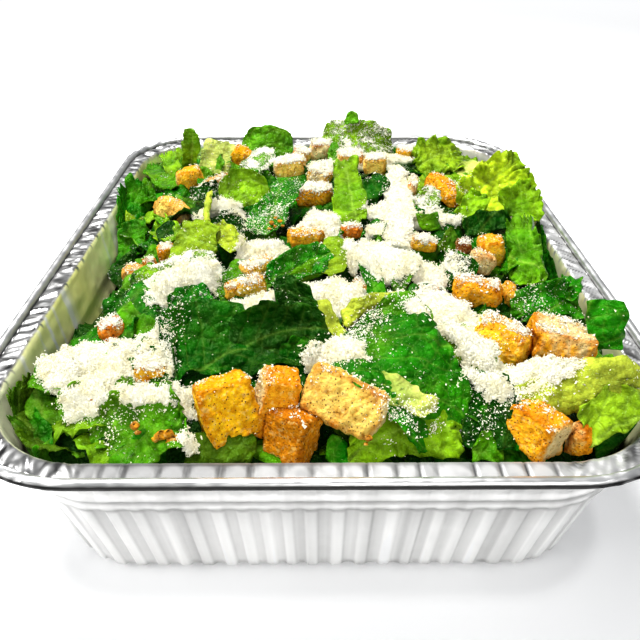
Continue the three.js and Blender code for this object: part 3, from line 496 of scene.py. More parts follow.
def pan_profile():
    """Rows from the middle of the underside round the rim to the middle of the floor.

    Each row is its height, how far outside the wall it is, its share of the flutes, of the rim's
    creases, of the dents and of the bead's crumples, its scale in plan, and how bright the foil is
    painted there: painted shade at the foot, up the flutes, along the step, under the rim and on the
    bead's underside, and painted highlights on the step's ridges and the bead's top.
    """
    rows = [(0.0, -4.0, 0, 0, 0, 0, k, 0.7) for k in (0.25, 0.5, 0.75, 0.93)]
    # painted shade: the foot is painted dark, a painted shadow line where the pan meets the table
    rows += [(0.0, -4.0, 0.0, 0, 0, 0, 1, 0.4), (0.4, -1.8, 0.5, 0, 0.1, 0, 1, 0.4),
             (1.3, -0.5, 0.9, 0, 0.1, 0, 1, 0.8)]
    # painted shade: the fluted wall is painted darker towards the step
    rows += [(z, FOIL, 1, 0, 0.12, 0, 1, BAND_BRIGHT + (1 - BAND_BRIGHT) * (1 - (z / 50) ** 3))
             for z in np.linspace(2.6, 45.0, 11)]
    # painted highlight and shade: the step's ridges are painted lighter and its hollows darker
    for rise, out, flutes, bright in (
            (-2.6, 0.1, 0.8, 0.92), (-1.2, 0.6, 0.4, 0.74), (0, 1.3, 0.2, 1.05),
            (1.2, 0.8, 0.1, 1.0), (2.8, 0.6, 0.1, 1.0), (4.6, 0.7, 0.1, 0.74),
            (5.8, 1.2, 0.1, 1.05), (7.0, 0.5, 0.2, 1)):
        rows.append((STEP_LOW + rise, FOIL + out, flutes, 0, 0.12, 0, 1, bright * BAND_BRIGHT))
    rows += [(z, FOIL + 0.1, 0.35, 0, 0.25, 0, 1, BAND_BRIGHT)
             for z in np.linspace(STEP_HIGH + 2, RIM_UNDER - 2.5, 7)]
    # painted shade under the rim
    rows += [(RIM_UNDER - 0.6, FOIL + 0.5, 0, 0.1, 0.5, 0, 1, 0.5),
             (RIM_UNDER, FOIL + 1.6, 0, 0.5, 0, 0, 1, 0.4)]
    rows += [(RIM_UNDER, out, 0, 1, 0, 0, 1, 0.35) for out in (4.2, 6.4, 8.2)]
    # the bead is painted dark on its underside and where it turns in to the flange, a painted
    # reflection of shade, and light on its top, a painted highlight
    for turn in np.radians(np.linspace(-75, 215, 16)):
        bright = smooth_step(turn, math.radians(26), math.radians(48)) * 0.80 + 0.02
        bright = bright * (1 - 0.75 * smooth_step(turn, math.radians(150), math.radians(195)))
        rows.append((PAN_HEIGHT - BEAD + BEAD * math.sin(turn),
                     FLANGE - BEAD + BEAD * math.cos(turn), 0, 0, 0, 1, 1, bright))
    top = RIM_UNDER + FOIL
    # painted shade: the flange's top is painted at about half brightness
    rows += [(top + 0.1, out, 0, 1, 0, 0, 1, 0.56) for out in (7.4, 6.6, 5.6, 4.6, 3.6, 2.6, 1.7)]
    rows += [(top - 0.1, 0.8, 0, 0.7, 0, 0, 1, 0.8), (top - 0.9, 0.1, 0, 0.35, 0.3, 0, 1, 0.6)]
    rows += [(z, 0, 0, 0, 1, 0, 1, 1) for z in np.linspace(RIM_UNDER - 2.5, STEP_HIGH + 2, 9)]
    rows += [(STEP_HIGH, 0.1, 0, 0, 0.7, 0, 1, 1), (STEP_HIGH - 1.2, 0.6, 0, 0, 0.7, 0, 1, 1),
             (STEP_LOW + 1, 0.2, 0, 0, 0.5, 0, 1, 1), (STEP_LOW - 1.4, 0, 0.4, 0, 0.5, 0, 1, 1)]
    rows += [(z, 0, 1, 0, 0.5, 0, 1, 1) for z in np.linspace(44, 4, 7)]
    rows += [(1.9, -1.2, 0.8, 0, 0.2, 0, 1, 1), (FOIL + 0.1, -3.6, 0.2, 0, 0, 0, 1, 1)]
    rows += [(FOIL, -4.4, 0, 0, 0, 0, k, 1) for k in (0.97, 0.7, 0.4)]
    return np.array(rows, float)


def wall_light(phase, bulge, walked, flutes, out, z):
    """Painted light and shade on the wall: the faces of its flutes painted lighter and darker, with
    a dark line painted at their edges and a glint beside them, and streaks of painted reflection on
    its plain bands.
    """
    turned = phase - np.floor(phase)
    shaded_edge_line = np.exp(-((turned - 0.5) / 0.035) ** 2) * (0.4 + 0.6 * draw(np.floor(phase) + 5))
    glint_line = np.exp(-((turned - 0.02) / 0.03) ** 2)
    facet = (1 - 0.17 * smooth_step(-bulge, -0.6, 0.8) + 0.09 * noise_line(2 * phase, 1, 45)
             - 0.26 * shaded_edge_line + 0.10 * glint_line)
    fluted = 1 - flutes + flutes * facet
    # streaks of painted reflection, with dark patches, on the plain bands
    streaks = (1 + 0.07 * noise_line(walked, 7, 44) + 0.05 * noise_line(walked, 1.6, 46)
               - 0.28 * smooth_step(noise_line(walked, 9, 47), 0.55, 0.8) * (1 - flutes))
    return fluted * (1 + (streaks - 1) * (out < 4) * (z < RIM_UNDER - 0.3))


def dried_film(x, z, base_x, base_y, walked):
    """Dressing dried on the inside of both long walls, its greens and golds also a painted
    reflection
    of the leaves in the foil: how thick it is, and its colour.

    It is thinner towards the far end, has painted highlights along its creases, and is painted
    brighter on the left wall and towards the near end, and darker on the right, as painted light
    and shade.
    """
    inside = (np.arange(len(z)) > np.argmax(z[:, 0]))[:, None] & (z < RIM_UNDER)
    film = inside * (0.92 * smooth_step(-x, 85, 100) + 0.85 * smooth_step(x, 85, 100))
    film = film * (1 - 0.6 * smooth_step(base_y, 70, 125))
    stain_and_reflection = smooth_step(noise_at(walked, 0.2 * z, 0, 26, 48), -0.3, 0.5)
    crease_highlight = smooth_step(noise_at(walked + 0.15 * z, 0, 0, 4.2, 49), 0.5, 0.85)
    dressed = mix(mix(DRESSING_AND_REFLECTION[0], DRESSING_AND_REFLECTION[1], stain_and_reflection), DRESSING_AND_REFLECTION[2], 0.8 * crease_highlight)
    # painted light and shade: brighter on the left wall and towards the near end, darker on the
    # right
    painted_light = np.where(base_x < 0, 1.5 + 0.6 * smooth_step(-base_y, -10, 80), 0.75)
    return film, np.minimum(dressed * painted_light[:, None], 0.95)


def foil_pan():
    """The pan as one closed loft: a row of the profile for each place round the outline.

    Below the step the wall goes in and out by FLUTE_DEPTH tanh(3.2 sin), so that each flute has two
    flat faces. The rim has shallow scalloped panels along its near side and tight, slanted pleats
    at the corners and along the other sides, and the foil carries soft dents. Its tint is painted
    with shade and light: the flutes' faces, dark folds, scallops and strokes on the rim, and the
    bead's dark underside. The tint's fourth number is how dull the foil is.
    """
    stretch, along = stations()
    columns = [column[:, None] for column in pan_profile().T]
    z, out, flutes, creases, dents, crumples, scale, bright = columns
    base_x, base_y, _, _ = outline(BASE_HALF_X, BASE_HALF_Y, BASE_CORNER, stretch, along)
    steps = np.hypot(np.diff(base_x, append=base_x[0]), np.diff(base_y, append=base_y[0]))
    walked = np.cumsum(steps) - steps[0]
    corner = smooth_step(np.abs(base_x), 74, 82) * smooth_step(np.abs(base_y), 104, 112)

    phase = walked / steps.sum() * FLUTES
    phase = phase + 0.24 * noise_line(phase, 3.1, 5)
    bulge = np.tanh(FLUTE_SQUARE * np.sin(2 * math.pi * phase))
    depth = FLUTE_DEPTH * (0.85 + 0.25 * noise_line(phase, 1.7, 8))
    lean = np.minimum(z / RIM_UNDER, 1)
    push = out + flutes * bulge * depth
    x, y, out_x, out_y = outline(
        BASE_HALF_X + MOUTH_RISE * lean + push, BASE_HALF_Y + MOUTH_RISE * lean + push,
        BASE_CORNER + CORNER_RISE * lean + push, stretch, along)

    # the rim: panels along its near side, and pleats and crumpled corners elsewhere
    near = smooth_step(NEAR_HALF - np.abs(base_x), 0, 6) * (base_y < -100)
    count = walked / PANEL + 0.42 * noise_line(walked, 11, 3)
    groove = np.abs(2 * (count - np.floor(count)) - 1)
    dish = noise_line(np.floor(count) + 0.5, 1, 12) * (1 - groove ** 2)
    fold = smooth_step(groove, 0.82, 1.0) * (0.3 + 0.7 * draw(np.round(count)))
    panel = 0.26 * dish * smooth_step(out, 1.5, 8) - 0.75 * fold
    slanted = walked + SLANT * np.clip(out, 0, 8) * np.where(base_x < 0, -1, 1)
    tight = np.abs(noise_at(slanted, 0.22 * out, 0, CREASE, 21))
    loose = noise_at(slanted, 0.5 * out, 0, CREASE / 2, 22)
    pleat = 0.7 - 1.3 * np.sqrt(tight) + 0.3 * loose
    crumple = noise_at(walked, 3 * out, 3 * z, 1.9, 31)
    folded = creases * (near * panel + (1 - near) * pleat)
    z = z + folded + crumples * crumple * (0.06 + 0.55 * corner)

    # dents and ridges all over the wall
    dent = (0.30 * noise_at(base_x, base_y, 2.2 * z, 9, 41)
            + 0.16 * noise_at(base_x, base_y, 2.2 * z, 3.4, 42))
    ridge = 0.28 * np.abs(noise_at(walked, 0.25 * z, 0, 2.2, 43))
    shove = dents * (dent + dents * ridge) + crumples * crumple * (0.1 + 0.45 * corner)
    ring = np.stack([(x + out_x * shove) * scale, (y + out_y * shove) * scale,
                     np.clip(z, 0, PAN_HEIGHT + 0.6)], -1)

    # painted shade: the panels of the rim's near side are painted as shaded scallops with dark folds
    # and darker to the left, and its pleats darker in their troughs and in dark strokes, darker to
    # the near left and lighter to the far right
    painted_shade_and_light = bright * wall_light(phase, bulge, walked, flutes, out, z)
    pressed, pleated = creases * near, creases * (1 - near)
    across = np.clip((out - 0.8) / 7, 0, 1)
    shaded = 0.36 * (1 - smooth_step(across - 0.12 - 0.8 * groove ** 2, -0.16, 0.16))
    painted_shade_and_light = painted_shade_and_light * (1 - pressed * (shaded + 0.88 * fold * (1 - shaded)))
    painted_shade_and_light = painted_shade_and_light * (1 - pressed * (0.03 + 0.65 * smooth_step(-base_x, -42, 45)))
    near_left = smooth_step(-base_x, -20, 60) * smooth_step(-base_y, -20, 90)
    far_right = smooth_step(base_x, 40, 90)
    painted_shade_and_light = painted_shade_and_light * (1 - pleated * (0.42 * near_left - 0.3 * far_right))
    painted_shade_and_light = painted_shade_and_light * (1 - 0.22 * pleated * smooth_step(-pleat, 0.1, 0.8))
    shaded_stroke = smooth_step(noise_at(slanted + 0.5 * out, 0.1 * out, 0, 1.3, 23), 0.05, 0.45)
    painted_shade_and_light = painted_shade_and_light * (1 - 0.8 * pleated * shaded_stroke * smooth_step(-out, -9.5, -4))
    # the foil's own colour times its painted shade and light
    tint = np.array(FOIL_TINT) * np.clip(painted_shade_and_light, 0.03, 1.12)[..., None]

    film, dressed = dried_film(x, z, base_x, base_y, walked)
    # the rim's pressed panels and its pleats on the right are dulled as well as the dressed walls
    dull = film + 0.6 * pressed + 0.3 * pleated * far_right
    tint = mix(tint, dressed, film)

    count_rows, count_round = ring.shape[:2]
    index = np.arange(count_round)
    ahead = np.roll(index, -1)
    last = (count_rows - 1) * count_round
    pole = np.full(count_round, count_rows * count_round)
    points = np.concatenate([ring.reshape(-1, 3), [[0, 0, 0], [0, 0, FOIL]]])
    tint = np.concatenate([tint, dull[..., None]], -1).reshape(-1, 4)
    return dict(points=points, tint=np.concatenate([tint, [[0.7, 0.7, 0.7, 0]] * 2]),
                faces=[grid_faces(count_rows, count_round, wrap=True)[:, ::-1],
                       np.stack([ahead, index, pole], -1),
                       np.stack([last + index, last + ahead, pole + 1], -1)])


piece("foil_tray", [foil_pan()], foil, ["foil_pan"])


# ------------------------------------------------------------------ the space inside the pan
def inside_pan(points, margin=0.0):
    """Points pulled in to WALL_CLEAR and `margin` from the leaning wall if they are beyond that."""
    x, y, z = points[..., 0], points[..., 1], points[..., 2]
    lean = z / RIM_UNDER
    radius = BASE_CORNER + CORNER_RISE * lean
    middle_x = BASE_HALF_X + MOUTH_RISE * lean - WALL_CLEAR - margin - radius
    middle_y = BASE_HALF_Y + MOUTH_RISE * lean - WALL_CLEAR - margin - radius
    beyond_x, beyond_y = np.abs(x) - middle_x, np.abs(y) - middle_y
    reach = np.hypot(np.maximum(beyond_x, 0), np.maximum(beyond_y, 0))
    keep = np.where(reach > radius, radius / np.maximum(reach, 1e-6), 1)
    return np.stack([np.where(beyond_x > 0, np.sign(x) * (middle_x + beyond_x * keep), x),
                     np.where(beyond_y > 0, np.sign(y) * (middle_y + beyond_y * keep), y), z], -1)


def heap_top(x, y):
    """The heap's surface: 90 at the crown, 20 lower at the wall and in a trough beside the left
    wall, and 14 lower in a hollow beside the right one."""
    radius = BASE_CORNER + CORNER_RISE
    beyond_x = np.abs(x) - (BASE_HALF_X + MOUTH_RISE - radius)
    beyond_y = np.abs(y) - (BASE_HALF_Y + MOUTH_RISE - radius)
    outside = np.hypot(np.maximum(beyond_x, 0), np.maximum(beyond_y, 0))
    wall = radius - outside - np.minimum(np.maximum(beyond_x, beyond_y), 0)
    trough = np.exp(-((x + 114) / 26) ** 2 - ((y + 18) / 58) ** 2)
    hollow = np.exp(-((x - 120) / 18) ** 2 - ((y - 12) / 36) ** 2)
    return 90 - 20 * np.exp(-np.maximum(wall, 0) / 24) - 20 * trough - 14 * hollow


# ------------------------------------------------------------------ romaine
TONES = {
    "dark": (5, 58, 2), "deep": (6, 76, 3), "emerald": (1, 82, 3), "deepbright": (4, 104, 5),
    "bright": (24, 112, 5), "mid": (72, 128, 10), "light": (120, 160, 22), "lime": (130, 156, 30),
    "rib": (186, 198, 66), "pale": (192, 198, 104), "yellow": (156, 168, 46),
    "fresh": (84, 138, 20), "olive": (66, 94, 10), "spring": (190, 214, 44),
    "leafy": (140, 172, 34),
}
LEAF_HALF = 0.42        # half the thickness of a leaf's blade
FLESHY_LEAF = 1.5       # thickness of a piece of leaf with some rib in it
RIB_LEAF = 3.4          # and what a whole rib adds to that
SIDE_VEINS = 9.5        # spacing of the veins that leave the midrib
NET = 6.0               # size of the cells between the finest veins
FRILL = 6.5             # length of one curl along a leaf's edge
FLESHY = {"folded_rib": 0.5, "arch_rib": 0.5, "great_rib": 1.0, "strand": 0.3}     # share of rib

# Each leaf: its name, its midrib's start, middle and end, its width, the way it faces, how much it
# is cupped, how many ruffles it has, how round its cut corners are, how thickly fine cheese dusts
# it, from 0 to 1, how high the curls of its edge stand, and its tone.
ROMAINE = """
front_sill      -48 -140  70  -35 -141  74  -23 -140  71 13  0 -6  8  0.1 1 0.3    0 0.25 olive
front_crinkle   -81 -137  67  -65 -132  76  -46 -134  80 28 -1 -5  8  0.1 2 0.5 0.12  1.2 mid
corner_blade   -122  -94  68 -111 -114  64  -86 -137  66 30  5 -2  8  0.2 3 0.6    0  1.3 olive
corner_crest   -114 -103  72 -105 -104  75  -92 -111  76 15  2 -4  8  0.2 3 0.6    0  1.2 mid
corner_tongue   -92 -129  70  -83 -127  73  -74 -123  77 26  1 -5  8  0.2 2 0.6    0  1.2 fresh
slate_sheet     -58 -107  81  -51  -97  87  -25  -96  84 31 -1 -6  8  0.2 1 0.2 0.04 0.25 emerald
slate_curl      -52 -118  76  -56 -108  80  -58  -96  88 12 -8 -5  3  0.2 1 0.3    0 0.25 dark
folded_blade    -38 -102  80  -20  -95  86    3  -97  87 26  0 -6  8  0.3 1 0.3    0 0.25 dark
folded_crest    -18  -87  92  -15  -80  95   -2  -84  93 14  0 -7  6  0.1 1 0.5 0.12 0.25 dark
folded_rib       -2  -80  93    3  -91  89    9  -98  83  8  2 -6  7  0.1 0 0.4    0 0.25 rib
curly_tuft      -12 -110  77  -10 -103  83   -5  -98  87 13 -3 -7  6  0.2 4 0.6    0  1.8 emerald
arch_rib          8  -91  88   17  -83  93   33  -81  94  7  0 -7  7  0.2 0 0.4    0 0.25 rib
broad_leaf        5 -102  87   28 -118  91   45 -135  72 38  1 -5  8 0.15 2 0.5 0.12  0.5 bright
broad_lobe       40 -101  92   52 -107  90   63 -113  88 14  2 -6  8  0.1 2 0.7 0.08 0.25 light
broad_crest      20  -87  92   32  -86  94   42  -96  92 12  0 -6  8  0.1 1 0.6    0 0.25 mid
broad_fold       18 -122  89   27 -130  87   38 -135  85 10  0 -6  8  0.1 0 0.6    0 0.25 pale
front_ribbed      9 -141  71   28 -136  77   49 -137  73 19  0 -6  8 -0.2 2 0.4    0  0.7 light
front_scrap       0 -140  71    4 -141  72    9 -141  70  9  0 -6  8  0.1 1 0.6    0 0.25 deepbright
shade_blade      56 -118  88   57 -127  80   53 -139  71 22 -3 -8  5  0.2 2 0.4  0.2 0.25 dark
shade_side       62 -127  82   66 -134  77   65 -141  71 16 -3 -8  5  0.1 1 0.4    0 0.25 deepbright
shade_tuft       50 -141  71   56 -140  73   61 -141  70 10  0 -7  7  0.2 3 0.7    0    1 mid
great_rib        65 -130  79   87 -127  87  110 -127  93 16 -1 -7  7 -0.2 0 0.3  0.1 0.25 rib
great_blade      87 -138  79   98 -135  84  110 -136  86 16 -2 -6  7  0.3 3 0.4    0    1 leafy
under_rib        92 -140  71  101 -137  75  112 -135  76 18 -2 -7  7  0.2 1 0.4    0 0.25 dark
side_blade      106 -104  86  107 -100  94  106  -94 103 14 -4 -9  3  0.1 2 0.3 0.08 0.25 bright
side_frill       80  -71  82   96  -68  84  111  -68  82 17 -1 -6  8  0.2 4 0.5 0.25  1.8 bright
side_lobe       102  -68  83  107  -62  86  111  -53  89 10 -2 -7  6  0.2 4 0.6    0  1.4 bright
ruffle_upright   96  -50  79   98  -28  85  101   -2  90 15 -3 -7  6  0.2 4 0.5    0  2.6 mid
ruffle_inner     88  -40  80   94  -24  82  100   -8  84 10 -6 -6  4  0.1 2 0.5    0  1.4 bright
fan_blade        80   22  82   97   38  89  114   40 103 32 -1 -7  6  0.2 4 0.5    0  2.4 spring
fan_lobe        100   15  84  109   19  88  119   29  92 24 -2 -7  6  0.2 4 0.6    0  2.2 light
fan_foot         76   10  83   82   19  87   90   28  90 14 -2 -7  6  0.2 3 0.6    0  1.6 light
wall_leaf       114  -32  62  119   -3  66  118   20  72 24 -8 -3  5  0.2 2 0.4    0 0.25 deep
back_ruffle      62   90  82   78   99  85   97  107  82 28  0 -6  8  0.2 4 0.6    0  2.2 lime
back_tip         66  104  86   66  104  92   67  104  98  6  0 -9  4  0.1 0 0.7    0 0.25 light
back_flat        85   91  80   95   88  80  102   68  80 18  0 -5  8  0.1 1 0.4    0 0.25 pale
back_hood         1  130  83   22  118  92   50  125  84 25  0 -8  6  0.2 2 0.5  0.7  0.8 light
back_knob        17  121 102   21  123 104   26  122 102  8  0 -8  6  0.3 1 0.8    0 0.25 mid
back_notch        8   92  84    9  101  87   10  112  90  8  0 -8  5  0.2 1 0.7    0 0.25 mid
back_arch       -53  119  84  -36  116  92  -18  119  84 18  0 -7  7  0.2 1 0.4    0 0.25 mid
back_cheesed    -46   63  84  -40   78  88  -34  101  90 16 -1 -7  7  0.1 2 0.5 0.85 0.25 mid
spear           -85   93  77  -81   93  93  -79   93 107 11 -1 -9  4  0.4 0 0.6    0 0.25 light
spear_fan       -87   82  76  -97   99  80 -105  119  82 11  2 -8  5  0.2 1 0.5    0    1 light
pale_flat       -68   85  80  -66   97  86  -65  109  93 20  0 -8  6  0.1 1 0.3  0.2 0.25 pale
back_left_leaf -117  116  72 -102   88  75  -90   64  77 16  3 -6  7  0.2 2 0.6    0    1 mid
wall_ruffle    -105   76  72 -114   55  68 -118   30  62 34  5 -4  7  0.2 3 0.5    0  2.4 bright
wall_low        -96   19  68 -112   23  62 -130   27  56 26  5 -5  7  0.2 3 0.5    0  1.8 bright
wall_lace       -92   27  74  -83   13  76  -73   -4  80 14 -1 -6  7  0.2 3 0.6  0.2  1.6 light
flat_face       -63  -33  83  -60  -23  88  -58  -12  94 21 -2 -9  4  0.1 1 0.3 0.12 0.25 lime
strand          -56  -14  92  -58    0  95  -58   15  98  4 -2 -9  4  0.1 0 0.5    0 0.25 rib
yellow_wing     -54  -12  91  -46  -21  90  -38  -28  88 13  2 -7  6  0.1 2 0.6  0.2 0.25 yellow
shell_leaf      -54   20  88  -43   30  94  -27   26  89 22  0 -7  7  0.4 0 0.6  0.1 0.25 light
gap_leaf_a      -55    9  84  -47    6  83  -39   -1  83 14  1 -7  6  0.2 1 0.4 0.25 0.25 dark
gap_leaf_b      -48  -28  80  -41  -23  80  -31  -18  82 20  1 -7  6  0.2 1 0.4    0 0.25 dark
speckled_leaf   -31   -7  84  -23   11  90  -15   36  95 19 -3 -7  6  0.3 2 0.5  0.3 0.25 bright
small_tuft      -74   38  86  -65   39  88  -57   43  90 10  0 -7  7  0.2 3 0.6  0.5  1.2 dark
centre_blade     16    2  86   15   22  93   14   47 103 17 -1 -8  5  0.2 3 0.4 0.05  1.6 light
centre_side      24   30  88   30   38  91   37   44  94 12 -2 -7  6  0.2 1 0.5  0.2 0.25 deep
tent_face         5  -51  86    6  -42  91    8  -31  96 14 -3 -8  5  0.1 0 0.4 0.05 0.25 lime
tent_strap       13  -36  94   20  -48  90   24  -66  84 10  4 -7  6  0.1 1 0.4    0 0.25 bright
boat_leaf       -25  -53  85  -11  -47  89    4  -39  92 13  0 -7  7  0.3 1 0.5  0.3 0.25 deepbright
boat_under      -16  -53  84   -7  -49  87    2  -42  89  9  0 -8  4  0.1 1 0.5    0 0.25 mid
cheesed_fold    -79  -60  79  -64  -51  87  -47  -45  91 24 -1 -6  8 -0.2 1 0.4  0.9 0.25 light
crumbled_end    -48  -61  80  -49  -51  84  -50  -40  87 10  5 -7  5  0.1 2 0.5  0.6 0.25 dark
left_dark      -100  -43  68  -90  -48  73  -79  -63  76 22  1 -5  8  0.2 2 0.5 0.35 0.25 dark
left_tucked     -85  -71  80  -77  -78  78  -69  -85  76 12 -2 -5  8  0.1 2 0.5    0 0.25 mid
left_crest      -64  -75  82  -55  -72  86  -44  -72  88 16 -1 -6  8  0.2 2 0.5 0.35 0.25 deepbright
mid_sliver       33  -58  84   38  -50  88   43  -41  91  8 -3 -7  6  0.1 2 0.5  0.4 0.25 fresh
mid_square       51    2  86   57    3  87   62    5  87  9  0 -9  4  0.1 0 0.2    0 0.25 mid
mid_cup          53   15  88   58   21  91   64   27  93 12 -1 -7  7  0.3 1 0.5  0.7  0.6 light
mid_shade        57  -34  83   62  -39  84   68  -44  84 14  1 -7  7  0.2 1 0.5 0.85 0.25 dark
mid_olive        58  -24  83   63  -19  85   69  -13  87 12  0 -8  5  0.1 0 0.3    0 0.25 olive
right_shade      74    3  82   87    8  84  102   10  83 12  0 -7  7  0.2 2 0.5    0 0.25 dark
"""
PALE_VEIN = linear((168, 200, 84))
YOUNG = linear((126, 170, 22))
MATURE = linear((20, 104, 6))
SHADE = (4.0, 17.0)     # painted shade: how far below the heap's surface leaves begin and end to be painted darker

# The veins of a leaf that was cut across them: how far they are turned from its length, in
# radians, and how far its own midrib is from its middle, in half widths.
GRAIN = {
    "broad_leaf": (-0.35, 0.62), "front_ribbed": (0.1, 0.2), "great_blade": (0.2, 0.9),
    "corner_blade": (0.15, 0.8), "spear": (0.0, 0.0), "shell_leaf": (0.1, -0.2),
    "centre_blade": (0.05, 0.3), "boat_leaf": (0.0, 0.1), "slate_sheet": (0.5, 1.4),
    "folded_blade": (0.12, 0.15), "flat_face": (1.3, 1.2), "back_hood": (0.3, 1.3),
    "fan_blade": (0.0, -0.3), "back_ruffle": (0.2, 0.1), "speckled_leaf": (0.2, 0.3),
    "cheesed_fold": (0.1, 0.2),
}


def table(text):
    """Each row's first word, and the rest of the row as a list, its numbers as numbers."""
    rows = [line.split() for line in text.strip().splitlines()]
    return {row[0]: [word if word.isalpha() else float(word) for word in row[1:]] for row in rows}


def bent_sheet(seed, path, width, face, roundness, step, apart, most=(math.inf, math.inf)):
    """A grid of places on a rounded sheet along a bent midrib, at most `most` steps long and wide.

    With t along and s across from -1 to 1, a = t sqrt(1 - r s2/2) and b = s sqrt(1 - r t2/2) round
    the corners by r. The midrib is the parabola through its three points at u = (a + 1)/2. The
    outline is ragged by 1 + 0.07 sin(3 turn) + 0.05 sin(5 turn). `flat` is each place on the sheet
    laid out flat, `apart` higher for each seed, so that no two sheets have the same noise.
    """
    start, through, end, face = [np.array(p, float) for p in (*path, face)]
    along = unit(end - start)
    normal = unit(face - np.dot(face, along) * along)
    length = np.linalg.norm(through - start) + np.linalg.norm(end - through)
    rows, columns = int(np.clip(length / step, 8, most[0])), int(np.clip(width / step, 6, most[1]))
    t, s = np.meshgrid(np.linspace(-1, 1, rows + 1), np.linspace(-1, 1, columns + 1), indexing="ij")
    a = t * np.sqrt(1 - roundness * s * s / 2)
    b = s * np.sqrt(1 - roundness * t * t / 2)
    u = (a + 1) / 2
    turn = np.arctan2(b, a)
    ragged = (1 + 0.07 * np.sin(3 * turn + 9 * draw(seed))
              + 0.05 * np.sin(5 * turn + 9 * draw(seed + 7)))
    bow = u[..., None]
    midrib = (start * (1 - bow) * (1 - 2 * bow) + through * 4 * bow * (1 - bow)
              + end * bow * (2 * bow - 1))
    flat = np.stack([u * length, b * width / 2, np.full_like(a, apart * seed)], -1)
    return SimpleNamespace(t=t, a=a, b=b, u=u, turn=turn, edge=np.maximum(np.abs(t), np.abs(s)),
                           ragged=ragged, midrib=midrib, flat=flat, length=length, along=along,
                           normal=normal, across=np.cross(normal, along))


def vein_lines(sheet, seed, width, grain):
    """The midrib, the side veins, the distance into a cell of the net, and the net's lines.

    Side veins leave the midrib forwards, SIDE_VEINS apart. The net is the borders of cells round
    scattered points.
    """
    u, flat = sheet.u, sheet.flat
    turned, shifted = grain or (2.2 * (draw(seed + 11) - 0.5),
                                (1.2 + draw(seed + 12)) * np.sign(draw(seed + 13) - 0.5))
    grain_x = flat[..., 0] * math.cos(turned) + flat[..., 1] * math.sin(turned)
    grain_y = (flat[..., 1] * math.cos(turned) - flat[..., 0] * math.sin(turned)
               + shifted * width / 2)
    bent = flat + 1.5 * np.stack([noise(flat, 6, 58), noise(flat, 6, 59), 0 * u], -1)
    main = np.exp(-(grain_y / (0.45 + 0.5 * (1 - u))) ** 2)
    ranks = (grain_x - 0.8 * np.abs(grain_y)) / SIDE_VEINS + 0.35 * noise(flat, 13, 54)
    off = (ranks - np.floor(ranks) - 0.5) * SIDE_VEINS
    side = np.exp(-(off / 0.55) ** 2) * smooth_step(noise(flat, 10, 53), -0.9, 0.1)
    near, after = cells(bent, NET, 55, flat=True)
    return main, side, near, smooth_step(0.15 - (after - near), 0, 0.15)


def leaf_tint(flat, tone, cap, soft, veins, fleshy):
    """A leaf's colour: cloudy, with young and mature patches, pale veins and streaks down a rib."""
    base = linear(TONES[tone])
    cloud = np.clip(0.45 + 0.4 * noise(flat, 9.0, 67) + 0.25 * cap * soft, 0, 1)
    lightness = min(1.0, base[1] / 0.25)
    tint = mix(base * 0.46, base * 1.30 + np.array([0.006, 0.014, 0.0]) * lightness, cloud)
    young = smooth_step(noise(flat, 15, 70) + 0.2 * cap, 0.1, 0.8)
    tint = mix(tint, YOUNG, 0.42 * lightness ** 2 * soft * young)
    tint = mix(tint, MATURE, 0.40 * soft * smooth_step(noise(flat, 12, 72), 0.1, 0.7))
    tint = mix(tint, PALE_VEIN, veins * (0.08 + 0.48 * lightness))
    streak = smooth_step(noise(flat * [0.1, 1, 1], 1.8, 73), 0.1, 0.6)
    return mix(tint, tint * 0.72, fleshy * streak)


